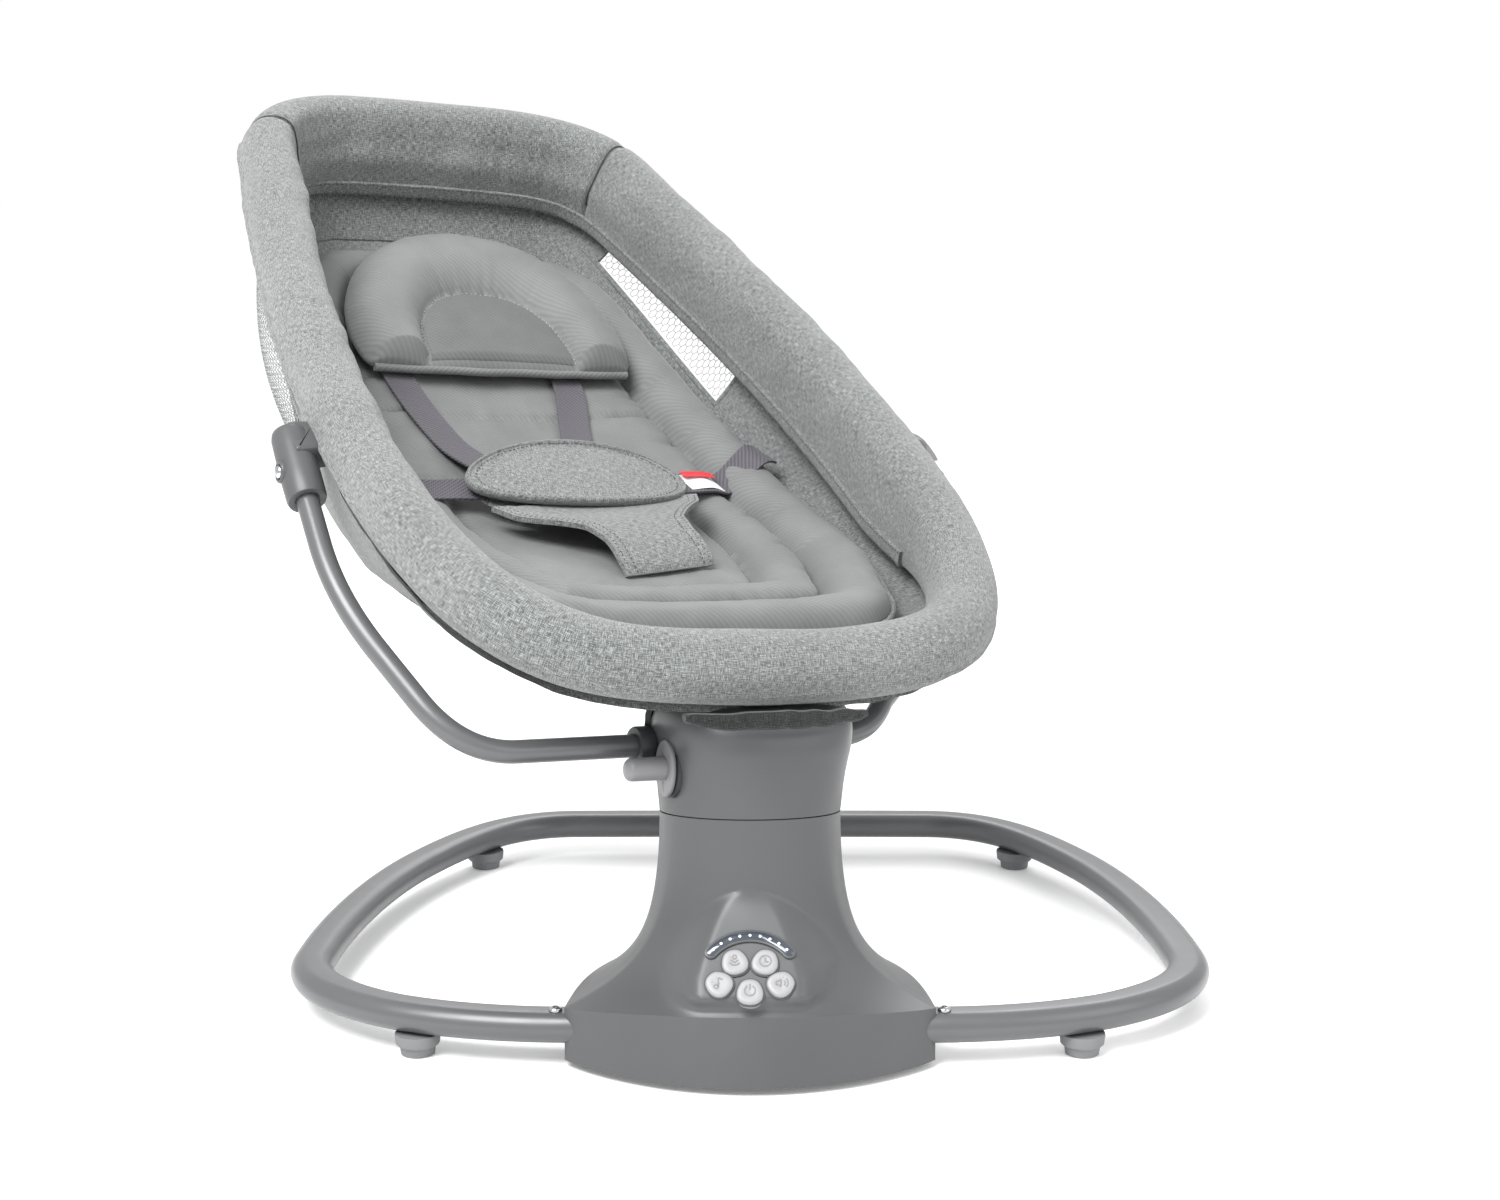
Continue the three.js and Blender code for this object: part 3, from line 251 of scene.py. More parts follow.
# ---------------------------------------------------------------- materials
class Nodes:
    """A short way to write a node tree."""

    def __init__(self, name):
        self.material = bpy.data.materials.new(name)
        self.material.use_nodes = True
        self.tree = self.material.node_tree
        self.shader = self.tree.nodes["Principled BSDF"]

    def add(self, kind, **values):
        node = self.tree.nodes.new(kind)
        for key, value in values.items():
            if key in node.inputs:
                socket = node.inputs[key]
                if isinstance(value, bpy.types.NodeSocket):
                    self.tree.links.new(value, socket)
                else:
                    socket.default_value = value
            else:
                setattr(node, key, value)
        return node

    def maths(self, operation, a, b=0.0):
        node = self.tree.nodes.new("ShaderNodeMath")
        node.operation = operation
        for socket, value in zip(node.inputs, (a, b)):
            if isinstance(value, bpy.types.NodeSocket):
                self.tree.links.new(value, socket)
            else:
                socket.default_value = value
        return node.outputs[0]

    def ramp(self, factor, *stops):
        node = self.tree.nodes.new("ShaderNodeValToRGB")
        self.tree.links.new(factor, node.inputs[0])
        while len(node.color_ramp.elements) < len(stops):
            node.color_ramp.elements.new(0.5)
        for element, (at, color) in zip(node.color_ramp.elements, stops):
            element.position = at
            element.color = (*color, 1)
        return node.outputs[0]

    def noise(self, vector, scale, detail=2.0, rough=0.5):
        return self.add(
            "ShaderNodeTexNoise", Vector=vector, Scale=scale, Detail=detail, Roughness=rough
        ).outputs[0]

    def scaled(self, vector, scale, turn=0.0):
        return self.add("ShaderNodeMapping", Vector=vector, Scale=scale, Rotation=(0, 0, turn)).outputs[0]

    def link(self, value, socket):
        self.tree.links.new(value, self.shader.inputs[socket])

    def relief(self, height, depth, strength=1.0):
        node = self.add("ShaderNodeBump", Height=height, Distance=depth, Strength=strength)
        self.tree.links.new(node.outputs[0], self.shader.inputs["Normal"])

    def set(self, **values):
        for key, value in values.items():
            self.shader.inputs[key.replace("_", " ")].default_value = value


def place_of(n):
    return n.add("ShaderNodeTexCoord").outputs["Object"]


def cloth_of(n):
    return n.add("ShaderNodeUVMap", uv_map="cloth").outputs[0]


def plastic(name, low, high, rough=0.45, grain=0.00006, slot=None):
    """Moulded plastic with a fine eroded grain, slight mottling and soft handling marks."""
    n = Nodes(name)
    at = place_of(n)
    n.link(n.ramp(n.noise(at, 9.0, 3.0), (0.3, low), (0.7, high)), "Base Color")
    marks = n.noise(at, 40.0, 4.0, 0.7)
    n.link(n.maths("ADD", n.maths("MULTIPLY", marks, 0.14), rough - 0.07), "Roughness")
    n.relief(n.noise(at, 1500.0, 1.0), grain, 0.5)
    n.set(Specular_IOR_Level=0.4)
    return n.material, slot or name


def tube_paint():
    n = Nodes("tube_paint")
    at = place_of(n)
    n.link(
        n.ramp(n.noise(at, 6.0, 2.0), (0.3, (0.095, 0.0965, 0.10)), (0.7, (0.107, 0.109, 0.113))),
        "Base Color"
    )
    n.link(n.maths("ADD", n.maths("MULTIPLY", n.noise(at, 60.0, 4.0), 0.12), 0.27), "Roughness")
    n.relief(n.noise(at, 700.0, 2.0), 0.00008, 0.25)
    n.set(Metallic=0.25, Specular_IOR_Level=0.5)
    return n.material, "tube_paint"


def chrome():
    n = Nodes("chrome")
    at = place_of(n)
    n.link(n.ramp(n.noise(at, 30.0), (0.2, (0.40, 0.41, 0.42)), (0.8, (0.52, 0.53, 0.54))), "Base Color")
    n.link(n.maths("ADD", n.maths("MULTIPLY", n.noise(at, 200.0, 3.0), 0.15), 0.12), "Roughness")
    n.set(Metallic=1.0)
    return n.material, "chrome"


def heather(
    name="heather", dark=(0.068, 0.072, 0.071), mid=(0.160, 0.168, 0.166), light=(0.29, 0.302, 0.298)
):
    """Melange linen: threads of light and dark grey that run both ways, over a fine plain weave."""
    n = Nodes(name)
    at = cloth_of(n)
    run_a = n.noise(n.scaled(at, (210, 1900, 1)), 1.0, 2.0, 0.55)
    run_b = n.noise(n.scaled(at, (1900, 210, 1)), 1.0, 2.0, 0.55)
    speck = n.noise(n.scaled(at, (2400, 2400, 1)), 1.0, 1.0)
    broad = n.noise(at, 14.0, 3.0)
    mix = n.maths("ADD", n.maths("MULTIPLY", run_a, 0.40), n.maths("MULTIPLY", run_b, 0.40))
    mix = n.maths("ADD", mix, n.maths("MULTIPLY", speck, 0.14))
    mix = n.maths("ADD", mix, n.maths("MULTIPLY", broad, 0.05))
    n.link(n.ramp(mix, (0.42, dark), (0.50, mid), (0.585, light)), "Base Color")
    warp = n.add("ShaderNodeTexWave", Vector=at, Scale=1.0, bands_direction="X")
    weft = n.add("ShaderNodeTexWave", Vector=at, Scale=1.0, bands_direction="Y")
    for wave_node in (warp, weft):
        wave_node.inputs["Scale"].default_value = 300.0
        wave_node.inputs["Distortion"].default_value = 1.5
        wave_node.inputs["Detail Scale"].default_value = 1.0
    weave = n.maths("MULTIPLY", warp.outputs["Fac"], weft.outputs["Fac"])
    n.relief(n.maths("ADD", n.maths("MULTIPLY", weave, 0.6), mix), 0.0006, 0.7)
    n.set(Roughness=0.95, Sheen_Weight=0.25, Sheen_Roughness=0.5, Specular_IOR_Level=0.15)
    return n.material, "heather"


def twill(name="twill", low=(0.140, 0.143, 0.142), high=(0.185, 0.189, 0.187)):
    """Smooth grey cover cloth with a fine diagonal rib."""
    n = Nodes(name)
    at = cloth_of(n)
    rib = n.add("ShaderNodeTexWave", Vector=at, bands_direction="DIAGONAL")
    rib.inputs["Scale"].default_value = 140.0
    rib.inputs["Distortion"].default_value = 0.6
    shade = n.maths(
        "ADD", n.maths("MULTIPLY", n.noise(at, 22.0, 4.0), 0.75),
        n.maths("MULTIPLY", rib.outputs["Fac"], 0.25)
    )
    n.link(n.ramp(shade, (0.25, low), (0.75, high)), "Base Color")
    n.relief(rib.outputs["Fac"], 0.00035, 0.5)
    n.set(Roughness=0.72, Sheen_Weight=0.12, Sheen_Roughness=0.4, Specular_IOR_Level=0.25)
    return n.material, "twill"


def webbing():
    n = Nodes("webbing")
    at = cloth_of(n)
    rib = n.add("ShaderNodeTexWave", Vector=at, bands_direction="DIAGONAL")
    rib.inputs["Scale"].default_value = 150.0
    rib.inputs["Distortion"].default_value = 0.8
    cross = n.add("ShaderNodeTexWave", Vector=at, bands_direction="X")
    cross.inputs["Scale"].default_value = 190.0
    weave = n.maths(
        "ADD", n.maths("MULTIPLY", rib.outputs["Fac"], 0.6),
        n.maths("MULTIPLY", cross.outputs["Fac"], 0.4)
    )
    n.link(n.ramp(weave, (0.2, (0.05, 0.048, 0.056)), (0.8, (0.105, 0.10, 0.115))), "Base Color")
    n.relief(weave, 0.0005, 0.8)
    n.set(Roughness=0.75, Sheen_Weight=0.1)
    return n.material, "webbing"


def net():
    n = Nodes("net")
    at = place_of(n)
    n.link(n.ramp(n.noise(at, 60.0), (0.3, (0.26, 0.265, 0.27)), (0.7, (0.36, 0.365, 0.37))), "Base Color")
    n.relief(n.noise(at, 900.0), 0.0001, 0.4)
    n.set(Roughness=0.8, Sheen_Weight=0.2)
    return n.material, "mesh"


def lens():
    n = Nodes("lens")
    at = place_of(n)
    n.link(
        n.ramp(n.noise(at, 50.0), (0.3, (0.028, 0.036, 0.05)), (0.7, (0.045, 0.055, 0.07))), "Base Color"
    )
    n.link(n.maths("ADD", n.maths("MULTIPLY", n.noise(at, 300.0), 0.1), 0.08), "Roughness")
    n.set(Coat_Weight=0.5)
    return n.material, "lens"


def label():
    """A blank sewn label with a coloured band."""
    n = Nodes("label")
    at = cloth_of(n)
    weave = n.noise(n.scaled(at, (1500, 1500, 1)), 1.0)
    n.link(n.ramp(weave, (0.3, (0.74, 0.74, 0.76)), (0.7, (0.85, 0.85, 0.87))), "Base Color")
    n.relief(weave, 0.0001, 0.4)
    n.set(Roughness=0.6)
    return n.material, "mesh"


def red_band():
    n = Nodes("label_band")
    at = cloth_of(n)
    weave = n.noise(n.scaled(at, (1500, 1500, 1)), 1.0)
    n.link(n.ramp(weave, (0.3, (0.55, 0.02, 0.03)), (0.7, (0.72, 0.05, 0.06))), "Base Color")
    n.set(Roughness=0.6)
    return n.material, "mesh"


HOUSING = plastic("housing", (0.064, 0.065, 0.067), (0.072, 0.0735, 0.076), 0.38)
LEVER_GREY = plastic("lever_grey", (0.17, 0.17, 0.175), (0.19, 0.19, 0.195), 0.4, slot="light_plastic")
DARK = plastic("dark_plastic", (0.032, 0.035, 0.038), (0.042, 0.046, 0.049), 0.5)
LIGHT = plastic("light_plastic", (0.23, 0.23, 0.24), (0.27, 0.27, 0.28), 0.35)
ICON = plastic("icon_print", (0.13, 0.13, 0.14), (0.18, 0.18, 0.19), 0.5, slot="dark_plastic")
RUBBER = plastic("rubber", (0.145, 0.15, 0.155), (0.175, 0.18, 0.185), 0.75, 0.0002)
BUCKLE = plastic("buckle", (0.08, 0.085, 0.09), (0.10, 0.105, 0.11), 0.4)
PAINT = tube_paint()
CHROME = chrome()
HEATHER = heather()
# Heather darkened to near black as painted shade for the hem, which hangs under the bumper away from the
# front light.
HEM_PAINTED_SHADE = heather("hem_painted_shade", (0.006, 0.007, 0.007), (0.016, 0.017, 0.017), (0.035, 0.037, 0.036))
TWILL = twill()
PANEL_TWILL = twill("panel_twill", (0.095, 0.097, 0.096), (0.135, 0.138, 0.137))
WEBBING = webbing()
NET = net()
LENS = lens()
LABEL = label()
RED_BAND = red_band()
SEAM_THREAD = plastic("seam_thread", (0.035, 0.038, 0.037), (0.06, 0.064, 0.062), 0.9, slot="heather")
PALE_THREAD = plastic("pale_thread", (0.42, 0.44, 0.43), (0.5, 0.52, 0.51), 0.9, slot="twill")


# ---------------------------------------------------------------- base
def foot_outline(angle, front_y):
    corner = math.atan2(CORNER_Y, CORNER_X)
    c, s = math.cos(angle), math.sin(angle)
    if s < math.sin(corner):
        x = CORNER_X * c / math.cos(corner)
        bow = max(1 - (x / CORNER_X) ** 2, 0) ** 0.88
        return x, CORNER_Y + (front_y - CORNER_Y) * bow
    back = (s - math.sin(corner)) / (1 - math.sin(corner))
    x = math.copysign(CORNER_X * max(1 - back**3, 0) ** 0.6 * (1 - 0.1 * back), c)
    return x, CORNER_Y + (HOUSING_REAR_Y - CORNER_Y) * back


def panel_dome(x, y, z):
    plane = PANEL_Y + (z - PANEL_Z) * math.tan(PANEL_TILT)
    soft = 3.5
    push = soft * math.log1p(math.exp(min((y - plane - 1) / soft, 30))) * float(step(z, 42, 60))
    half = 54 * math.sqrt(min(max((114 - z) / 46, 0.02), 1))
    side = min(abs(x) / half, 1.2)
    return push * (1 - float(step(side, 0.55, 1.08)))


def housing_rows():
    corner = math.atan2(CORNER_Y, CORNER_X)
    front = np.linspace(-math.pi - corner, corner, 91)[:-1]
    rear = np.linspace(corner, math.pi - corner, 71)[:-1]
    angles = np.r_[front, rear]
    rows = []
    for g in np.linspace(0, 1, 70):
        blend = 0.38 * g**2.2 + 0.62 * g**7
        row = []
        for a in angles:
            tx, ty = COLUMN_R * math.cos(a), COLUMN_R * math.sin(a)
            fx, fy = foot_outline(a, CREASE_Y)
            x = tx + (fx - tx) * blend
            top_z = RING_Z - ty * math.sin(LEAN)
            edge_z = CORNER_Z + (CREASE_Z - CORNER_Z) * max(-math.sin(a), 0) ** 2
            z = top_z + (edge_z - top_z) * g
            y = ty * math.cos(LEAN) + (fy - ty * math.cos(LEAN)) * blend
            if y < 0:
                y -= panel_dome(x, y, z)
            row.append((x, y, z))
        rows.append(row)
    crease = np.array(rows[-1])
    low = np.array([(*foot_outline(a, FOOT_FRONT_Y), FOOT_Z) for a in angles])
    for share in (0.02, 0.06, 0.3, 0.6, 0.9, 0.97, 1.0):
        rows.append(crease + (low - crease) * share)
    under = low.copy()
    under[:, :2] *= 0.975
    rows.append(under - (0, 0, 1.0))
    top = np.array(rows[0])
    inner = top.copy()
    inner[:, :2] *= 0.94
    rows.insert(0, inner + (0, 0, 0.4))
    rows.insert(0, inner - (0, 0, 4))
    return rows


def build_housing():
    grid("column_housing", housing_rows(), BASE, HOUSING, "base", replaces=["base_housing"], sharp=28)


def loop_path():
    left = bezier(
        (-84, -62),
        [
            ((-145, -66), (-192, -56), (-230, -38)),
            ((-270, -16), (-303, 18), (-301, 66)),
            ((-300, 150), (-284, 248), (-258, 310)),
            ((-233, 372), (-205, 424), (-150, 428)),
            ((-100, 429), (-50, LOOP_REAR_Y - 1), (-0.4, LOOP_REAR_Y - 1)),
        ],
    )
    return resample(left, 150)


def build_loop():
    for word, side in (("left", 1), ("right", -1)):
        p = loop_path()
        path = np.column_stack([p[:, 0] * side, p[:, 1], np.full(len(p), LOOP_Z)])
        tube(
            f"floor_tube_{word}", path, oval(LOOP_WIDE, LOOP_HIGH), BASE, PAINT, "base",
            replaces=[f"loop_tube_{word}"]
        )
        spot = BASE @ Matrix.Translation((-0.124 * side, -0.065, (LOOP_Z + LOOP_HIGH / 2) * MM))
        dome = [
            (0.01, 0), (4.2, 0.1), (4.4, 0.8), (4.0, 1.8), (3.0, 2.7), (1.9, 3.0), (1.8, 2.0), (0.01, 1.9)
        ]
        spun(
            f"tube_screw_{word}", dome, spot, CHROME, "base", 24, replaces=[f"loop_screw_{word}"],
            caps=False
        )


def build_feet():
    tiers = [
        (0.01, 0), (9.6, 0), (11, 0.6), (11.7, 6), (13.4, 6.8), (14.2, 7.6), (14.9, 13), (14.6, 14.4),
        (0.01, 14.4)
    ]
    spots = {
        "front_left": (-215, -47), "front_right": (215, -47), "rear_left": (-218, 385),
        "rear_right": (218, 385)
    }
    for word, (x, y) in spots.items():
        spot = BASE @ Matrix.Translation((x * MM, y * MM, 0))
        spun(
            f"rubber_foot_{word}", tiers, spot, RUBBER, "base", replaces=[f"foot_{word}"], caps=False,
            sharp=35
        )


# ---------------------------------------------------------------- control panel
BUTTONS = {
    "swing": (-9.6, -0.8, 0.25),
    "timer": (9.6, -0.8, -0.25),
    "music": (-19.6, -15.6, 0.9),
    "volume": (19.6, -15.6, -0.9),
    "power": (0, -20.8, 0),
}


def egg(half_wide, half_high, count=56):
    a, b = half_wide, half_high
    return resample(
        bezier(
            (0, -b),
            [
                ((a * 1.1, -b), (a * 1.25, -b * 0.1), (a * 0.72, b * 0.6)),
                ((a * 0.45, b), (-a * 0.45, b), (-a * 0.72, b * 0.6)),
                ((-a * 1.25, -b * 0.1), (-a * 1.1, -b), (0, -b)),
            ],
            20,
        )[:-1],
        count,
        True,
    )


def stroke(name, points, spot, body, width=0.9, z=2.25):
    """A printed line, very slightly raised."""
    p = resample(points, max(len(points), 14))
    path = np.column_stack([p, np.full(len(p), z)])
    tube(
        name, path, [(-width / 2, 0), (width / 2, 0), (width / 2, 0.12), (-width / 2, 0.12)], spot, ICON,
        body
    )


def arc(r, start, end, centre=(0, 0), count=20):
    a = np.linspace(start * DEG, end * DEG, count)
    return np.stack([centre[0] + r * np.cos(a), centre[1] + r * np.sin(a)], 1)


def icon_lines(word):
    if word == "power":
        return [arc(3.3, 120, 420), [(0, 0.8), (0, 4.4)]]
    if word == "timer":
        return [arc(3.6, 0, 358), [(0, 2.2), (0, 0), (1.9, -0.9)]]
    if word == "volume":
        return [
            [
                (-3.4, -1.1), (-1.9, -1.1), (-0.4, -2.6), (-0.4, 2.6), (-1.9, 1.1), (-3.4, 1.1),
                (-3.4, -1.1)
            ],
            arc(2.2, -45, 45), arc(4.0, -45, 45)
        ]
    if word == "music":
        return [arc(1.3, 0, 358, (-1.4, -2.4)), [(-0.1, -2.4), (-0.1, 3.4), (2.6, 2.2)]]
    return [arc(4.0, 215, 325, (0, 1.2)), [(-2.6, 0.6), (0, -0.9), (2.6, 0.6)], arc(1.2, 0, 358, (0, 2.6))]


def build_buttons():
    for word, (x, up, turn) in BUTTONS.items():
        spot = PANEL @ Matrix.Translation((x * MM, up * MM, 0))
        turned = spot @ Matrix.Rotation(turn, 4, "Z")
        cap = [
            (6.0, -5), (0.0, -5), (0, 0.9), (0.25, 1.6), (0.9, 2.1), (1.8, 2.3), (4.0, 2.2), (7.0, 2.05),
            (8.0, 2.0)
        ]
        name = f"button_{word}"
        capped(f"cap_{word}", egg(8.2, 9.0), cap, turned, LIGHT, name, replaces=[name], sharp=60)
        well = [(7.5, -0.5), (0, -0.5), (0, 0.25), (1.0, 0.28), (8.0, 0.28)]
        capped(f"well_{word}", egg(9.1, 9.9), well, turned, DARK, "base", sharp=60)
        for k, line in enumerate(icon_lines(word)):
            stroke(f"icon_{word}_{k}", line, spot, name)


WINDOW_OUTER, WINDOW_INNER, WINDOW_HALF, WINDOW_DROP = 35, 29, 50 * DEG, -15
WINDOW_MID = (WINDOW_OUTER + WINDOW_INNER) / 2


def window_arc(r, angles):
    return np.stack([r * np.cos(angles), WINDOW_DROP + r * np.sin(angles)], 1)


def window_end(angle, grow, turn):
    """The round end of the light window at one angle of its arc."""
    r = WINDOW_OUTER - WINDOW_MID + grow
    x, y = WINDOW_MID * math.cos(angle), WINDOW_DROP + WINDOW_MID * math.sin(angle)
    spread = np.linspace(0.2, math.pi - 0.2, 8)
    return [(x + r * math.cos(t + angle + turn), y + r * math.sin(t + angle + turn)) for t in spread]


def build_window():
    drop, mid = WINDOW_DROP, WINDOW_MID
    a = np.linspace(math.pi / 2 - WINDOW_HALF, math.pi / 2 + WINDOW_HALF, 50)

    def ends(grow):
        outer = window_arc(WINDOW_OUTER + grow, a)
        inner = window_arc(WINDOW_INNER - grow, a[::-1])
        return np.vstack([outer, window_end(a[-1], grow, 0), inner, window_end(a[0], grow, math.pi)])

    capped(
        "led_lens", ends(-0.2), [(0, -2), (0, 0.9), (0.4, 1.2)], PANEL, LENS, "base",
        replaces=["led_window"]
    )
    capped("led_bezel", ends(1.1), [(0, -2), (0, 0.6), (0.5, 0.9)], PANEL, HOUSING, "base")
    for k, t in enumerate(np.linspace(a[2], a[-3], 9)):
        dot = PANEL @ Matrix.Translation((mid * math.cos(t) * MM, (drop + mid * math.sin(t)) * MM, 0.0012))
        spun(
            f"led_dot_{k}", [(0.01, 0), (0.9, 0), (0.9, 0.1), (0.01, 0.12)], dot, LABEL, "base", 12,
            caps=False
        )


# ---------------------------------------------------------------- head
HEAD_PROFILE = [
    (0.8, 59.2, 59.2, 59.2),
    (20, 59.2, 59.2, 59),
    (34, 61, 59, 58),
    (46, 63.5, 59, 54),
    (56, 65.5, 56, 49),
    (63, 66, 49, 42),
    (68, 64.5, 40, 34),
    (70.6, 59, 31, 26),
    (HEAD_TOP, 50, 22, 18),
]


def head_rows(offset, angles, levels=60):
    profile = rounded(HEAD_PROFILE, levels, closed=False)
    rows = []
    for z, across, front, back in profile:
        grow = offset * float(step(z, 18, 36))
        power = 2 / (2 + 0.6 * min(max(z / 40, 0), 1))
        c, s = np.cos(angles), np.sin(angles)
        depth = np.where(s < 0, front, back) + grow
        x = (across + grow) * np.sign(c) * np.abs(c) ** power
        y = depth * np.sign(s) * np.abs(s) ** power
        rows.append(np.stack([x, y, np.full(len(angles), z + grow * (z > 60))], 1))
    return rows


def shell_rows(rows, inset):
    """Rows of an outside followed back by the inside, so that an open shell has an edge."""
    rows = [np.asarray(r) for r in rows]
    inside = []
    for row in rows:
        inner = row.copy()
        inner[:, :2] *= 1 - inset / 58
        inner[:, 2] -= inset * 0.6 * (row[:, 2] > 55)
        inside.append(inner)
    return rows, inside


def build_head():
    split = math.asin(PIVOT_Y / 58)
    front = np.linspace(-math.pi - split, split, 120)
    rear = np.linspace(split, math.pi - split, 80)
    for name, angles, offset, material, node in (
        ("head_front", front, 0.0, HOUSING, "head_front_shell"),
        ("head_rear", rear, 3.5, DARK, "head_rear_shell"),
    ):
        outside, inside = shell_rows(head_rows(offset, angles), 3)
        rows = [np.vstack([o, i[::-1]]) for o, i in zip(outside, inside)]
        grid(name, rows, HEAD, material, "head", replaces=[node], sharp=35)
    lid = head_rows(0.0, np.linspace(0, 2 * math.pi, 120, endpoint=False))[-1]
    lid2 = lid * (0.3, 0.3, 1) + (0, 0, 0.8)
    grid("head_crown", [lid - (0, 0, 3), lid, lid2], HEAD, HOUSING, "head", sharp=60)


def build_lever():
    face, y, z = 62.6, -3, 31
    plate = HEAD @ Matrix.Translation((-face * MM, y * MM, z * MM)) @ Matrix.Rotation(-math.pi / 2, 4, "Y")
    a = np.linspace(0, 2 * math.pi, 64, endpoint=False)
    outline = np.stack([18.5 * np.cos(a), 12 * np.sin(a)], 1)
    capped(
        "lever_plate", outline, [(0.6, 0), (0, 0.6), (0, 2.4), (0.5, 3.1), (1.4, 3.4), (9, 3.6)], plate,
        LEVER_GREY, "lever", replaces=["recline_lever"], sharp=60
    )
    rim = [(6.5, 3), (7.7, 3.2), (7.8, 5), (7.5, 26), (7.2, 28), (6.0, 29.4), (3.5, 30), (0.01, 30.2)]
    spun("lever_peg", rim, plate, LEVER_GREY, "lever", 36, caps=False, sharp=50)
    slot = np.stack([19.6 * np.cos(a), 13.0 * np.sin(a)], 1)
    capped("lever_slot", slot, [(0, -6), (0, -0.9), (3, -0.9)], plate, DARK, "head", sharp=60)


# ---------------------------------------------------------------- yoke
ARM_SIDE, ARM_END, HUB_AT, ARM_R, SNAP_AT = 249, 246, 254, 7.6, 229


ARM_BENDS = {
    "left": ((158, 0), (195, 0), (213, 40), (231, 82), (ARM_SIDE, 124)),
    "right": ((80, 0), (107, 0), (127, 26), (208, 93), (ARM_SIDE, 128)),
}


def arm_path(word, side):
    def bend(a, b, c, count=24):
        t = np.linspace(0, 1, count)[:, None]
        a, b, c = (np.array(p, float) for p in (a, b, c))
        return (1 - t) ** 2 * a + 2 * t * (1 - t) * b + t * t * c

    out, corner, turned, rising, upright = ARM_BENDS[word]
    turn = bend(out, corner, turned)
    rise = bend(rising, upright, (ARM_SIDE, 168))
    p = resample(np.vstack([[(34, 0)], turn, rise, [(ARM_SIDE, ARM_END)]]), 110)
    return np.column_stack([p[:, 0] * side, p[:, 1], np.zeros(len(p))])


def build_arms():
    for word, side in SIDES:
        tube(
            f"arm_{word}", arm_path(word, side), circle(ARM_R, 32), YOKE, PAINT, "seat",
            replaces=[f"seat_arm_{word}"]
        )
        along = YOKE @ Matrix.Translation(
            (side * ARM_SIDE * MM, HUB_AT * MM, 0)
        ) @ Matrix.Rotation(-math.pi / 2, 4, "X")
        socket = [
            (7.8, -49), (10.5, -50), (12.6, -49.4), (13.4, -47), (13.6, -30), (13.0, -8), (12.6, 4),
            (11.6, 8), (8, 10.4), (0.01, 11)
        ]
        spun(
            f"socket_{word}", socket, along, HOUSING, "seat", 40, caps=False, sharp=50,
            replaces=[f"hub_socket_{word}"]
        )
        lug = np.array([(4, -17), (0, -20), (-24, -15), (-30, -4), (-28, 8), (-10, 13), (4, 8)], float)
        lug = rounded(lug * (side, 1), 40)
        flat = SEAT @ Matrix.Translation(SEAT.inverted() @ along.translation)
        capped(
            f"lug_{word}", lug, [(1, -8), (0, -7), (0, 9), (1, 10), (4, 10.5)], flat, HOUSING, "seat",
            sharp=50
        )
        out = YOKE @ Matrix.Translation(
            (side * (ARM_SIDE + 9) * MM, SNAP_AT * MM, 0)
        ) @ Matrix.Rotation(side * math.pi / 2, 4, "Y")
        eye = [(4.9, 0), (7.2, 0), (7.6, 4.2), (7.2, 5.4), (6.2, 5.8), (5.2, 5.2), (4.9, 4)]
        spun(f"eyelet_{word}", eye, out, HOUSING, "seat", 30, caps=False, sharp=50)
        knob = [(4.4, 2.4), (4.4, 5), (4.0, 6.2), (2.6, 7.1), (0.01, 7.4)]
        spun(
            f"snap_{word}", knob, out, CHROME, f"snap_{word}", 24, caps=False,
            replaces=[f"snap_button_{word}"], sharp=60
        )
    collar = [(8.2, -4), (12.2, -4), (12.6, -3), (12.6, 6), (12, 7.2), (9.4, 7.6), (8.2, 7.4)]
    for word, side in SIDES:
        at = axes(PIVOT + ACROSS * side * 0.068, AXIS, LEAN_Y, ACROSS * side)
        spun(f"collar_{word}", collar, at, DARK, "seat", 36, caps=False, sharp=50)


# ---------------------------------------------------------------- seat rim
def rim_table():
    right = [
        ((66, RIM_FOOT), (122, -28), (158, 8)),
        ((197, 47), (RIM_HALF, 118), (RIM_HALF, 215)),
        ((RIM_HALF, 350), (192, 470), (161, 606)),
        ((150, 656), (124, 679), (72, 682)),
        ((46, RIM_HEAD), (22, RIM_HEAD), (0, RIM_HEAD)),
    ]
    half = bezier((0, RIM_FOOT), right, 120)
    whole = np.vstack([half, (half * (-1, 1))[::-1][1:-1]])
    points = resample(whole, 2000, True)
    run = np.roll(points, -4, 0) - np.roll(points, 4, 0)
    run /= np.linalg.norm(run, axis=1)[:, None]
    out = np.stack([run[:, 1], -run[:, 0]], 1)
    length = np.linalg.norm(np.diff(np.vstack([points, points[:1]]), axis=0), axis=1).sum()
    return points, out, length


RIM_POINTS, RIM_OUT, RIM_LENGTH = rim_table()


def rim(t):
    """Points and outward directions of the rim's centre line at shares t of its length."""
    at = (np.asarray(t, float) % 1) * len(RIM_POINTS)
    low = np.floor(at).astype(int) % len(RIM_POINTS)
    high = (low + 1) % len(RIM_POINTS)
    f = (at - np.floor(at))[..., None]
    return RIM_POINTS[low] * (1 - f) + RIM_POINTS[high] * f, RIM_OUT[low] * (1 - f) + RIM_OUT[high] * f


def rim_share(y):
    half = RIM_POINTS[: len(RIM_POINTS) // 2 + 1]
    return float(np.interp(y, half[:, 1], np.arange(len(half)) / len(RIM_POINTS)))


def skirt(y):
    return 3 + 27 * step(y, 40, 200)


def floor_w(y):
    return -(8 + 116 * step(y, -120, 330)) + 44 * step(y, 380, 760)


def put(t, n, w):
    """Rim coordinates to seat coordinates. t has one value per row; n and w have one per point."""
    p, out = rim(t)
    return np.concatenate([p + out * np.asarray(n)[..., None], np.asarray(w, float)[..., None]], -1)


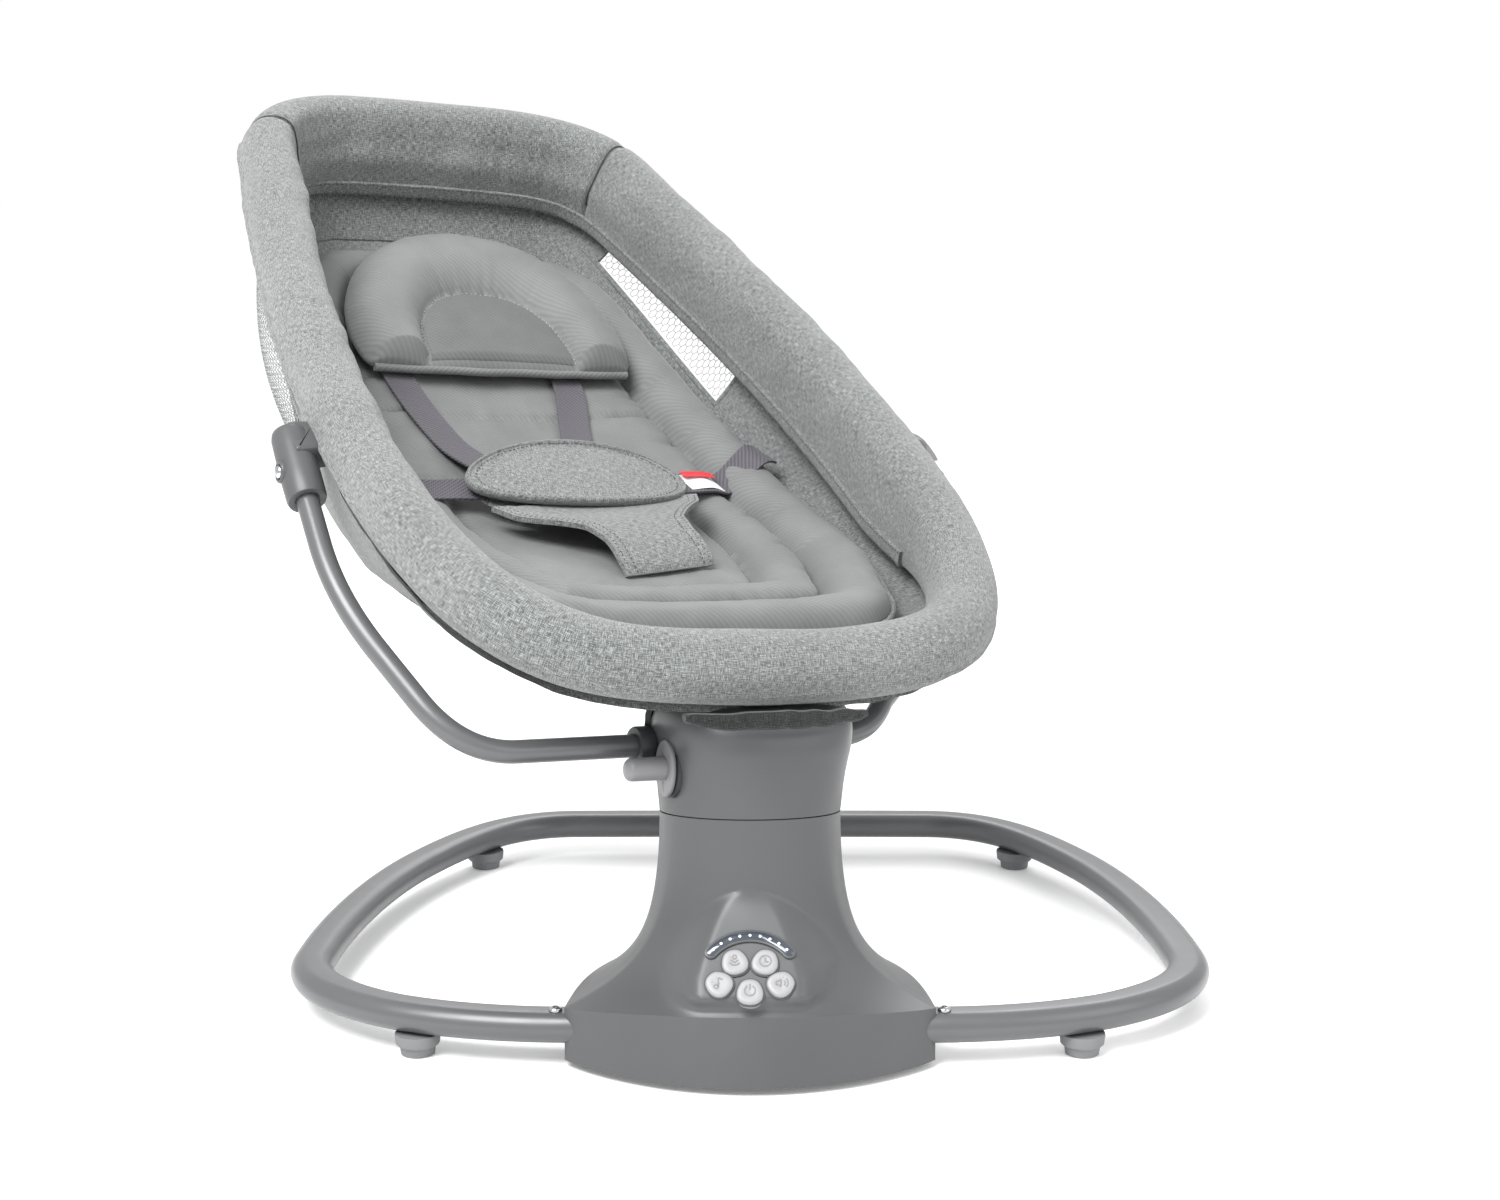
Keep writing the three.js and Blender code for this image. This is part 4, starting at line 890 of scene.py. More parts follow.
# ---------------------------------------------------------------- bumper
def bumper_section(y, count):
    s = float(skirt(y))
    board = float(step(y, 560, 655))
    turns = (160, 130, 100, 70, 40, 10, -20, -50, -78)
    round_top = np.array([(24 * math.sin(a * DEG), 24 * math.cos(a * DEG)) for a in turns])
    board_top = np.array(
        [(7, -22), (18, -16), (24, -4), (23, 9), (15, 21), (1, 26), (-10, 22), (-16, 10), (-20, -4)]
    )
    top = round_top * (1 - board) + board_top * board
    hang = [
        (-23.6, -8 - 0.3 * s), (-21.5, -13 - 0.6 * s), (-18, -19 - s), (-14.5, -21 - s), (-11.5, -19 - s)
    ]
    under = [(-10, -16 - 0.3 * s), (-8, -22)]
    return rounded(np.vstack([top, hang, under]), count)


BUMPER_AROUND = 120
OUTER_SEAM = 100  # degrees from straight up, outwards


def bumper_rows(shares):
    rows = []
    p, _ = rim(shares)
    for t, (x, y) in zip(shares, p):
        ring = bumper_section(y, BUMPER_AROUND)
        nxt = np.roll(ring, -1, 0) - np.roll(ring, 1, 0)
        normal = np.stack([-nxt[:, 1], nxt[:, 0]], 1)
        normal /= np.linalg.norm(normal, axis=1)[:, None]
        angle = np.degrees(np.arctan2(ring[:, 0], ring[:, 1]))
        at = t * RIM_LENGTH
        push = np.zeros(len(ring))
        equator = (angle - OUTER_SEAM) * 0.42
        push -= 2.6 * bump(equator, 1.5)
        gather = np.array([noise.noise(Vector((at / 11, k * 0.02, 3.1))) for k in range(len(ring))])
        push += 0.7 * gather * np.exp(-np.abs(equator) / 8)
        soft = np.array(
            [
                noise.noise(Vector((at / 70, math.cos(k * DEG) * 1.2, math.sin(k * DEG) * 1.2)))
                for k in angle
            ]
        )
        push += 1.3 * soft
        inside = step(-ring[:, 0], 16, 22) * step(ring[:, 1], -60, -10)
        if y > 500:
            fold = noise.noise(Vector((at / 26, 0.3, 9.0))) + 0.5 * noise.noise(Vector((at / 11, 0.9, 4.0)))
            head = float(step(y, 560, 640))
            crease = 1 - 2.2 * abs(noise.noise(Vector((at / 38, 2.3, 7.0))))
            face = np.clip((4 - ring[:, 0]) / 22, 0, 1) * np.exp(-(((ring[:, 1] + 8) / 28) ** 2))
            push += (2.6 * fold + 2.2 * crease) * head * face
        drift = np.array([noise.noise(Vector((at / 34 + k / 50, k / 24, 5.0))) for k in ring[:, 1]])
        push += 1.2 * drift * inside
        slant = at / 30 - ring[:, 1] / 26
        pull = np.array(
            [1 - 2.4 * abs(noise.noise(Vector((q, k / 60, 11.0)))) for q, k in zip(slant, ring[:, 1])]
        )
        upper = step(ring[:, 1], -16, 8) * float(step(y, 60, 240)) * (1 - float(step(y, 560, 640)))
        push += 1.1 * pull * upper
        ring = ring + normal * push[:, None]
        rows.append((t, ring))
    return rows


def bumper_mesh(name, start, end, count, node):
    shares = np.linspace(start, end, count)
    rows = bumper_rows(shares)
    solid = []
    edge = np.minimum(shares - start, end - shares) * RIM_LENGTH
    for (t, ring), e in zip(rows, edge):
        squeeze = 1 - 0.10 * math.exp(-((e / 3.2) ** 2))
        ring = ring * squeeze
        tt = np.full(len(ring), t)
        solid.append(put(tt, ring[:, 0], ring[:, 1]))
    piece = grid(name, solid, SEAT, HEATHER, "seat", replaces=[node], sharp=75)
    return piece


def build_bumper():
    seam = rim_share(CORNER_SEAM_Y)
    bumper_mesh("bumper_roll", -seam, seam, 560, "bumper_wrap")
    bumper_mesh("bumper_headboard", seam, 1 - seam, 170, "bumper_head")


def build_tape():
    """The stitched binding along the lower edge of the bumper's inner side."""
    start = rim_share(120)
    shares = np.linspace(start, 1 - start, 620)
    p, _ = rim(shares)
    rows = []
    for t, (x, y) in zip(shares, p):
        s = float(skirt(y))
        low = -22 - s
        lift = 0.5 * noise.noise(Vector((t * RIM_LENGTH / 15, 1, 8)))
        profile = [
            (-16.0, low), (-19.6 - lift, low + 1.0), (-21.0 - lift, low + 4), (-22.2 - lift, low + 9),
            (-23.0 - lift, low + 13.4), (-21.6, low + 14.2), (-18.0, low + 13)
        ]
        profile = np.array(profile)
        rows.append(put(np.full(len(profile), t), profile[:, 0], profile[:, 1]))
    grid("binding_tape", rows, SEAT, HEATHER, "seat", sharp=50)


def build_outer_seam():
    """The dark thread line along the bumper's outer seam, and the seams at its two head corners."""
    seam = rim_share(CORNER_SEAM_Y)
    a = OUTER_SEAM * DEG
    shares = np.linspace(-seam, seam, 500)
    path = put(shares, np.full(500, 22.6 * math.sin(a)), np.full(500, 22.6 * math.cos(a)))
    tube("outer_seam", path, circle(0.55, 8), SEAT, SEAM_THREAD, "seat", sharp=None)
    for word, side in (("right", 1), ("left", -1)):
        p, _ = rim(np.array([side * seam]))
        ring = bumper_section(p[0, 1], 120)
        keep = ring[(ring[:, 1] > -30) | (ring[:, 0] > -10)] * 0.955
        path = put(np.full(len(keep), side * seam), keep[:, 0], keep[:, 1])
        tube(
            f"corner_seam_{word}", path[2:-6], circle(0.55, 8), SEAT, SEAM_THREAD, "seat",
            up=(0.3, 0.9, 0.1), sharp=None
        )


def build_tape_stitches():
    start = rim_share(120)
    shares = np.linspace(start, 1 - start, 620)
    p, out = rim(shares)
    for k, rise in enumerate((3.4, 12.0)):
        low = -22 - np.array([float(skirt(y)) for y in p[:, 1]])
        path = put(shares, np.full(620, -22.3 - 0.09 * rise), low + rise)
        face = np.column_stack([-out, np.zeros(620)])
        stitches(f"tape_stitches_{k}", path, face, "seat", SEAM_THREAD, SEAT, 2.6, 1.4, 0.4)


def build_hem():
    """The rolled hem of the tub's fabric that hangs in front of the head's top, in cloth darkened as painted
    shade.
    """
    at = axes(RING - UP_Z * RING_Z * MM, ACROSS, UP_Y, UP_Z)
    rows = []
    for x in np.linspace(-84, 46, 90):
        ends = math.sqrt(max(1 - ((x + 19) / 66) ** 2, 0.02))
        wrinkle = noise.noise(Vector((x / 13, 0.5, 0.2)))
        drop = 217.5 + 7 * (1 - ends) + 1.3 * wrinkle
        y = -62.5 + 0.0011 * x * x + 0.8 * noise.noise(Vector((x / 9, 3, 1)))
        high = 3 + 9 * ends
        ring = [
            (y + 3, drop + high), (y - 1, drop + high), (y - 2.4, drop + high / 2), (y - 1.6, drop + 1.2)
        ]
        ring += [(y + 0.6, drop), (y + 2.4, drop + 1.2), (y + 3, drop + high / 2)]
        rows.append([(x, q, z) for q, z in ring])
    # The hem's near-black cloth is painted shade.
    piece = grid("tub_hem", rows, at, HEM_PAINTED_SHADE, "seat", sharp=60)
    declare_sheet([r[:4] for r in rows])


def stitches(name, points, outward, body, material, matrix, length=3.0, gap=1.7, r=0.4):
    """A row of single stitches along a polyline."""
    points = np.asarray(points, float)
    d = np.r_[0, np.cumsum(np.linalg.norm(np.diff(points, axis=0), axis=1))]
    verts, faces = [], []
    for start in np.arange(gap, d[-1] - length, length + gap):
        a, b = (
            np.array([np.interp(q, d, points[:, k]) for k in range(3)]) for q in (start, start + length)
        )
        o = np.array([np.interp(start, d, outward[:, k]) for k in range(3)])
        run = b - a
        side = np.cross(run, o)
        side = side / (np.linalg.norm(side) + 1e-9) * r
        o = o / (np.linalg.norm(o) + 1e-9) * r
        m = (a + b) / 2 + o * 0.5
        k = len(verts)
        verts += [a - o * 0.6, m - side, m + side, m + o, b - o * 0.6]
        faces += [
            (k, k + 1, k + 3), (k, k + 3, k + 2), (k, k + 2, k + 1), (k + 4, k + 3, k + 1),
            (k + 4, k + 2, k + 3), (k + 4, k + 1, k + 2)
        ]
    return make(name, verts, faces, matrix, material, body, sharp=None)


# ---------------------------------------------------------------- tub
def wall_point(t, v, out):
    p, _ = rim(t)
    y = p[..., 1]
    low = floor_w(y)
    v = np.asarray(v, float)
    n = 7 + (-36 - 7) * v + 7 * np.sin(math.pi * v) + out
    return put(t, n, -29 + (low + 29) * v)


def wall_sheet(name, t0, t1, v0, v1, across, down, nodes, material, thick=2.6, ruffle=1.2):
    ts, vs = np.linspace(t0, t1, across), np.linspace(v0, v1, down)
    rows = []
    for t in ts:
        at = t * RIM_LENGTH
        fold = np.array([noise.noise(Vector((at / 17, v * 2.2, 6.0))) for v in vs])
        big = np.array([noise.noise(Vector((at / 48 + v, v * 1.4, 2.0))) for v in vs])
        out = ruffle * (fold + 1.6 * big)
        outside = wall_point(np.full(down, t), vs, out + thick)
        inside = wall_point(np.full(down, t), vs, out)
        rows.append(np.vstack([outside, inside[::-1]]))
    piece = grid(name, rows, SEAT, material, "seat", replaces=nodes, sharp=60)
    declare_sheet([r[:down] for r in rows])
    return piece


def declare_sheet(rows, closed=False):
    """Gathers the rows of a sheet built here into one array, closing each row if asked; nothing is worked out
    from them. Declare a sheet with the area and the longest runs of the surface built here, not of a real
    cut.
    """
    rows = np.asarray(rows, float)
    if closed:
        rows = np.concatenate([rows, rows[:, :1]], axis=1)


WINDOWS = {"left": (292, 566, 0.13, 0.78), "right": (418, 640, 0.16, 0.66)}


def build_tub():
    foot, head = rim_share(10), rim_share(612)
    for word, flip in (("right", 1), ("left", -1)):
        low, high, top, bottom = WINDOWS[word]
        w0, w1 = rim_share(low), rim_share(high)
        parts = [
            ("foot_part", foot, w0, 0.0, 1.0, 90, 24, [f"tub_wall_{word}"]),
            ("top_strip", w0, w1, 0.0, top, 90, 5, []),
            ("low_strip", w0, w1, bottom, 1.0, 90, 10, []),
            ("head_part", w1, head, 0.0, 1.0, 30, 24, []),
        ]
        for part, a, b, v0, v1, across, down, nodes in parts:
            wall_sheet(
                f"tub_{part}_{word}", flip * a, flip * b, v0, v1, across, down, nodes, HEATHER
            )
    wall_sheet("tub_back", head, 1 - head, 0, 1, 90, 24, ["tub_wall_head"], HEATHER)
    wall_sheet("tub_front", -foot, foot, 0, 1, 90, 12, [], HEATHER)


def hexagons(wide, tall, cell, cols):
    """Corners and edges of the whole hexagons that fit in a rectangle."""
    verts, index, edges = [], {}, set()

    def corner(u, v):
        key = (round(u, 2), round(v, 2))
        if key not in index:
            index[key] = len(verts)
            verts.append(key)
        return index[key]

    for i in range(-1, cols + 2):
        for j in range(-1, int(tall / (cell * math.sqrt(3))) + 2):
            cx = i * 1.5 * cell
            cy = j * cell * math.sqrt(3) + (cell * math.sqrt(3) / 2 if i % 2 else 0)
            ring = [
                (cx + cell * math.cos(k * 60 * DEG), cy + cell * math.sin(k * 60 * DEG)) for k in range(6)
            ]
            if any(q[0] < 0 or q[0] > wide or q[1] < 0 or q[1] > tall for q in ring):
                continue
            ids = [corner(*q) for q in ring]
            for a, b in zip(ids, ids[1:] + ids[:1]):
                edges.add((min(a, b), max(a, b)))
    return verts, edges


def build_windows():
    """White net: a lattice of hexagons, pulled over the bowed opening."""
    cell = 3.3
    for word, flip in (("right", 1), ("left", -1)):
        low, high, top, bottom = WINDOWS[word]
        w0, w1 = rim_share(low), rim_share(high)
        wide = (w1 - w0) * RIM_LENGTH
        p, _ = rim(np.array([(w0 + w1) / 2]))
        tall = abs(float(floor_w(p[0, 1])) + 29) * (bottom - top)
        cols = int(wide / (cell * 1.5))
        verts, edges = hexagons(wide, tall, cell, cols)
        flat = np.array(verts)
        u, v = flat[:, 0] / wide, flat[:, 1] / tall
        t = flip * (w0 + (w1 - w0) * u)
        vv = top + (bottom - top) * v
        bow = (12 if word == "left" else 7) * np.sin(math.pi * u) ** 0.7 * np.sin(math.pi * v) ** 0.7 + 1.3
        pts = wall_point(t, vv, bow)
        out3, faces = [], []
        for a, b in sorted(edges):
            pa, pb = pts[a], pts[b]
            run = pb - pa
            side = np.cross(run, (0, 0, 1.0))
            side = side / (np.linalg.norm(side) + 1e-9) * 0.3
            lift = np.cross(run, side)
            lift = lift / (np.linalg.norm(lift) + 1e-9) * 0.3
            k = len(out3)
            for q in (pa, pb):
                out3 += [q + side, q - side * 0.5 + lift * 0.87, q - side * 0.5 - lift * 0.87]
            faces += [
                (k, k + 1, k + 4, k + 3), (k + 1, k + 2, k + 5, k + 4), (k + 2, k, k + 3, k + 5),
                (k, k + 2, k + 1), (k + 3, k + 4, k + 5)
            ]
        lattice = make(
            f"net_{word}", out3, faces, SEAT, NET, "seat", replaces=[f"mesh_window_{word}"], sharp=None,
            closed=False
        )
        border = []
        for a, b in (((0, 0), (1, 0)), ((1, 0), (1, 1)), ((1, 1), (0, 1)), ((0, 1), (0, 0))):
            for q in np.linspace(0, 1, 40)[:-1]:
                border.append((a[0] + (b[0] - a[0]) * q, a[1] + (b[1] - a[1]) * q))
        border = np.array(border)
        path = wall_point(flip * (w0 + (w1 - w0) * border[:, 0]), top + (bottom - top) * border[:, 1], 1.3)
        run = np.roll(path, -1, 0) - np.roll(path, 1, 0)
        run /= np.linalg.norm(run, axis=1)[:, None]
        side = np.cross(run, np.array([0, 0, 1.0]) + 1e-3)
        side /= np.linalg.norm(side, axis=1)[:, None]
        lift = np.cross(side, run)
        c = circle(2.4, 10)
        rows = path[:, None] + side[:, None] * c[None, :, :1] + lift[:, None] * c[None, :, 1:]
        grid(f"net_binding_{word}", rows, SEAT, HEATHER, "seat", loop=True, sharp=None)


def build_floor():
    shares = np.linspace(0, 1, 361)[:-1]
    p, out = rim(shares)
    edge = p - out * np.interp(p[:, 1], [600, 640], [34.5, 29.0])[:, None]
    spine = np.column_stack([edge[:, 0] * 0, np.clip(edge[:, 1], 120, 540)])
    top, low = [], []
    for share in np.linspace(0, 1, 40):
        q = edge + (spine - edge) * share
        w = floor_w(q[:, 1]) - 1 + 4 * (1 - share) ** 2 + 0.9 * noise_at(q[:, 0] / 55, q[:, 1] / 55, 6.0)
        top.append(np.column_stack([q, w]))
        low.append(np.column_stack([q, w - 3.2]))
    rows = low[::-1] + top
    piece = grid(
        "tub_bottom", rows, SEAT, HEATHER, "seat", replaces=["tub_floor"], sharp=60, loop=True, flat=True
    )
    declare_sheet(top, closed=True)


# ---------------------------------------------------------------- pad, pillow
def pad_bottom(y):
    return floor_w(y) + 4


def pad_top(y):
    return pad_bottom(y) + PAD_THICK


def pad_outline(grow=0.0):
    right = [
        ((100 + grow, PAD_FOOT - grow), (100, PAD_FOOT - grow), (104, PAD_FOOT - grow)),
        ((128, PAD_FOOT + 2 - grow), (144 + grow, 54), (156 + grow, 92)),
        ((170 + grow, 126), (PAD_HALF + grow, 170), (PAD_HALF + grow, 240)),
        ((PAD_HALF + grow, 340), (170 + grow, 430), (152 + grow, 520)),
        ((136 + grow, 588), (112, PAD_HEAD + grow), (60, PAD_HEAD + grow)),
        ((40, PAD_HEAD + grow), (20, PAD_HEAD + grow), (0, PAD_HEAD + grow)),
    ]
    half = bezier((0, PAD_FOOT - grow), right, 40)
    return resample(np.vstack([half, (half * (-1, 1))[::-1][1:-1]]), 420, True)


def distance_to(points, line):
    """Distance from each point to a closed polyline, and the share of its length at the nearest place."""
    a = line
    b = np.roll(line, -1, 0)
    ab = b - a
    best = np.full(len(points), 1e9)
    at = np.zeros(len(points))
    for k in range(len(a)):
        f = np.clip(((points - a[k]) @ ab[k]) / (ab[k] @ ab[k]), 0, 1)
        q = a[k] + f[:, None] * ab[k]
        d = np.linalg.norm(points - q, axis=1)
        better = d < best
        best[better] = d[better]
        at[better] = (k + f[better]) / len(a)
    return best, at


def cushion(name, outline, height, bottom, rings, spine, material, nodes):
    """A closed cushion: its top is height(points) over the bottom, and both fold up at the spine."""
    inner = spine(outline)
    shares = np.linspace(0, 1, rings) ** 1.2
    top_rows = []
    for share in shares:
        p = outline + (inner - outline) * share
        top_rows.append(np.column_stack([p, height(p)]))
    low_rows = []
    for share in shares[::3]:
        p = outline + (inner - outline) * share
        low_rows.append(np.column_stack([p, bottom(p) + 2.5 * math.exp(-share * 60)]))
    last = outline + (inner - outline)
    low_rows.append(np.column_stack([last, bottom(last)]))
    rows = low_rows[::-1] + top_rows
    piece = grid(name, rows, SEAT, material, "seat", replaces=nodes, sharp=80, caps=False, flat=True)
    return piece


def pad_spine(outline):
    y = np.clip(outline[:, 1], PAD_FOOT + 130, PAD_HEAD - 130)
    return np.column_stack([outline[:, 0] * 0, y])


def cradle(x):
    """How far the cloth rises towards the tub's sides."""
    return 24 * np.clip(np.abs(x) / PAD_HALF, 0, 1.1) ** 2.4


def pillow_bulge(share, power=2.2):
    """A stuffed channel's crown, 0 at both seams and 1 in the middle."""
    return 1 - np.abs(2 * np.clip(share, 0, 1) - 1) ** power


def noise_at(u, v, seed):
    return np.array([noise.noise(Vector((a, b, seed))) for a, b in zip(u, v)])


def pad_height(points):
    line = pad_outline()
    length = np.linalg.norm(np.roll(line, -1, 0) - line, axis=1).sum()
    d, at = distance_to(points, line)
    s = at * length
    x, y = points[:, 0], points[:, 1]
    roll, second = 46, 42
    low_part = 1 - step(y, 250, 300)
    outer = 7 + 1 * np.clip(d / roll, 0, 1) + 18 * pillow_bulge(d / roll, 2.5)
    ring = 8 + 15 * pillow_bulge((d - roll) / second, 2.5)
    centre = 8 + 10 * (1 - np.exp(-np.clip(d - roll - second, 0, 400) / 12))
    panel = 8 + 11 * (1 - np.exp(-np.clip(d - roll, 0, 400) / 13))
    low_shape = np.where(d < roll + second, ring, centre)
    h = np.where(d < roll, outer, low_shape * low_part + panel * (1 - low_part))
    h -= 5.5 * bump(d - roll, 3.2)
    h -= 5.0 * bump(d - roll - second, 3.2) * low_part
    tuft = np.zeros(len(points))
    for k, place in enumerate(np.arange(0.0, length, 68)):
        gap = np.abs((s - place + length / 2) % length - length / 2)
        tuft += bump(gap, 2.6 + 1.6 * (k % 2)) * (1.0 if k % 3 else 0.55)
    reach = np.exp(-(((d - roll) / 20) ** 2))
    h -= 4.2 * np.clip(tuft, 0, 1.2) * reach * step(y, 90, 150)
    pucker = noise_at(s / 8.5, s * 0, 2.0)
    h += 1.9 * pucker * np.exp(-np.abs(d - roll) / 11)
    h += 1.5 * pucker * np.exp(-np.abs(d - roll - second) / 10) * low_part
    h += 0.9 * pucker * np.exp(-d / 8)
    for place, deep in ((310, 3.2), (405, 4.5)):
        bowed = y - place - 0.0003 * x**2
        h -= deep * bump(bowed, 2.4) * step(d, roll - 2, roll + 3)
        h += 1.4 * noise_at(x / 9, y * 0, 5.0) * np.exp(-np.abs(bowed) / 9) * step(d, roll, roll + 4)
    h += 1.6 * noise_at(x / 42, y / 26, 4.4) + 0.5 * noise_at(x / 12, y / 9, 8.0)
    return pad_bottom(y) + h + cradle(x)


def inset(line, by):
    nxt = np.roll(line, -1, 0) - np.roll(line, 1, 0)
    normal = np.stack([nxt[:, 1], -nxt[:, 0]], 1)
    return line - normal / np.linalg.norm(normal, axis=1)[:, None] * by


def thread(name, flat, height, body="seat", r=0.5):
    path = np.column_stack([flat, height(flat) + 0.1])
    tube(name, path, circle(r, 6), SEAT, SEAM_THREAD, body, sharp=None)


def build_pad_seams():
    line = pad_outline()
    first = inset(line, 46)
    thread("pad_seam_outer", np.vstack([first[200:], first[:221]])[10:-10], pad_height)
    for k, y in enumerate((310, 405)):
        xs = np.linspace(-124, 124, 90)
        thread(f"pad_seam_cross_{k}", np.column_stack([xs, y + 0.0003 * xs**2]), pad_height)


def pad_underside(points):
    return pad_bottom(points[:, 1]) + cradle(points[:, 0]) + 0.6


def build_pad():
    line = pad_outline()
    nodes = ["seat_pad"]
    cushion("seat_cushion", line, pad_height, pad_underside, 92, pad_spine, TWILL, nodes)
    rows = []
    for inward, lift in ((6, 1.0), (0.5, 0.6), (-1.2, 2.2), (-1.5, 3.8), (0.3, 5.6), (4, 6.2)):
        q = pad_outline(3.5 - inward)
        rows.append(np.column_stack([q, pad_bottom(q[:, 1]) + cradle(q[:, 0]) + lift]))
    grid("pad_piping", rows, SEAT, HEATHER, "seat", wrap=True, caps=False, sharp=50)


PILLOW = (444, 606, 118)


def pillow_outline():
    low, high, _ = PILLOW
    right = [
        ((50, low), (90, low - 1), (108, low + 2)),
        ((114, low + 4), (117, low + 14), (118, low + 36)),
        ((118, low + 92), (78, high), (0, high)),
    ]
    h = bezier((0, low), right, 50)
    return resample(np.vstack([h, (h * (-1, 1))[::-1][1:-1]]), 300, True)


def pillow_spine(outline):
    low = PILLOW[0]
    return np.column_stack([outline[:, 0] * 0, np.clip(outline[:, 1], low + 46, low + 104)])


def arch_line():
    low = PILLOW[0]
    right = bezier((64, low + 3), [((62, low + 40), (56, low + 84), (0, low + 86))], 50)
    left = right[::-1] * (-1, 1)
    return np.vstack([right, left[1:]])


def pillow_height(points):
    low = PILLOW[0]
    line = pillow_outline()
    side = line[line[:, 1] > low + 3]
    side = np.vstack([side, [(-118, low - 60), (118, low - 60)]])
    d, at = distance_to(points, side)
    closed = np.vstack([arch_line(), [(-64, low - 30), (64, low - 30)]])
    da, sa = distance_to(points, closed)
    x, y = points[:, 0], points[:, 1]
    edge_x = np.interp(
        y, [low - 30, low + 3, low + 24, low + 40, low + 60, low + 74, low + 83, low + 86],
        [64, 64, 63, 61, 52, 38, 18, 0]
    )
    inside = np.abs(x) < edge_x
    share = d / (d + da + 1e-6)
    roll = 7 + 5 * share + 18 * pillow_bulge(share, 2.6)
    flat = 12 + 3.5 * (1 - np.exp(-da / 10))
    h = np.where(inside, flat, roll)
    h -= 1.8 * bump(da, 1.6)
    h += 1.5 * noise_at(sa * 66, sa * 0, 1.0) * np.exp(-da / 12) * (~inside)
    h += 1.6 * noise_at(at * 58, at * 0, 3.0) * np.exp(-d / 14)
    h += 1.0 * noise_at(x / 30, y / 22, 7.0)
    h = 2 + (h - 2) * np.clip((y - low + 1) / 9, 0, 1) ** 0.5
    return pad_top(y) + 5 + h


def pillow_underside(points):
    return pad_top(points[:, 1]) + 5.5


def build_pillow():
    line = pillow_outline()
    cushion("support_pillow", line, pillow_height, pillow_underside, 76, pillow_spine, TWILL, ["head_pillow"])
    arch = resample(arch_line(), 240)
    top = pillow_height(arch)
    path = np.column_stack([arch, top + 0.9])
    stitches(
        "pillow_stitches", path, np.tile((0, 0, 1.0), (len(path), 1)), "seat", PALE_THREAD, SEAT, 2.6,
        1.6, 0.42
    )
    low = PILLOW[0]
    xs = np.linspace(-108, 110, 90)
    rows = []
    for x in xs:
        y0 = low - 1 + 0.00012 * x * x
        base = float(pad_top(y0)) + 8.5
        wob = 1.0 * noise.noise(Vector((x / 30, 0, 0)))
        ring = circle(3.4, 18) * (0.8, 1.0)
        rows.append(np.column_stack([np.full(18, x), y0 + ring[:, 0] + wob, base + ring[:, 1]]))
    grid("pillow_hem", rows, SEAT, TWILL, "seat", sharp=60)


def build_pillow_panel():
    """The flat panel inside the pillow's arch, in a darker twill."""
    low = PILLOW[0]
    rows = []
    for y in np.linspace(low + 3, low + 82, 50):
        half = np.interp(
            y, [low + 3, low + 24, low + 40, low + 60, low + 74, low + 83], [61, 60, 58, 49, 35, 14]
        )
        flat = np.column_stack([np.linspace(-half, half, 40), np.full(40, y)])
        top = pillow_height(flat) + 0.4
        rows.append(np.vstack([np.column_stack([flat, top]), np.column_stack([flat, top - 1.0])[::-1]]))
    piece = grid("pillow_panel", rows, SEAT, PANEL_TWILL, "seat", sharp=60, flat=True)
    declare_sheet([r[:40] for r in rows])


# ---------------------------------------------------------------- harness
def band(name, points, material, node, wide=25.0, thick=1.8, lift=0.0, on_pad=True):
    """A flat strap over points (x, y, height over the pad)."""
    flat = np.array([(x, y) for x, y, h in points], float)
    ground = pad_height(flat) if on_pad else pad_top(flat[:, 1])
    p = np.array([(x, y, g + h + lift) for (x, y, h), g in zip(points, ground)])
    p = rounded(p, 70, closed=False)
    run = np.gradient(p, axis=0)
    run /= np.linalg.norm(run, axis=1)[:, None]
    side = np.cross(run, (0, 0, 1.0))
    side /= np.linalg.norm(side, axis=1)[:, None]
    up = np.cross(side, run)
    half = np.interp(
        np.linspace(0, 1, len(p)), np.linspace(0, 1, len(np.atleast_1d(wide))), np.atleast_1d(wide)
    ) / 2
    rows = []
    for k in range(len(p)):
        h = half[k]
        shape = [
            (-h, 0), (-h - 0.35, thick * 0.5), (-h, thick), (-h * 0.85, thick * 1.05),
            (-h * 0.78, thick * 0.85), (0, thick * 0.9), (h * 0.78, thick * 0.85),
            (h * 0.85, thick * 1.05), (h, thick), (h + 0.35, thick * 0.5), (h, 0), (0, -0.1)
        ]
        rows.append([p[k] + side[k] * a + up[k] * b for a, b in shape])
    piece = grid(name, rows, SEAT, material, "seat", replaces=[node] if node else (), sharp=60)
    return piece, p, side, up


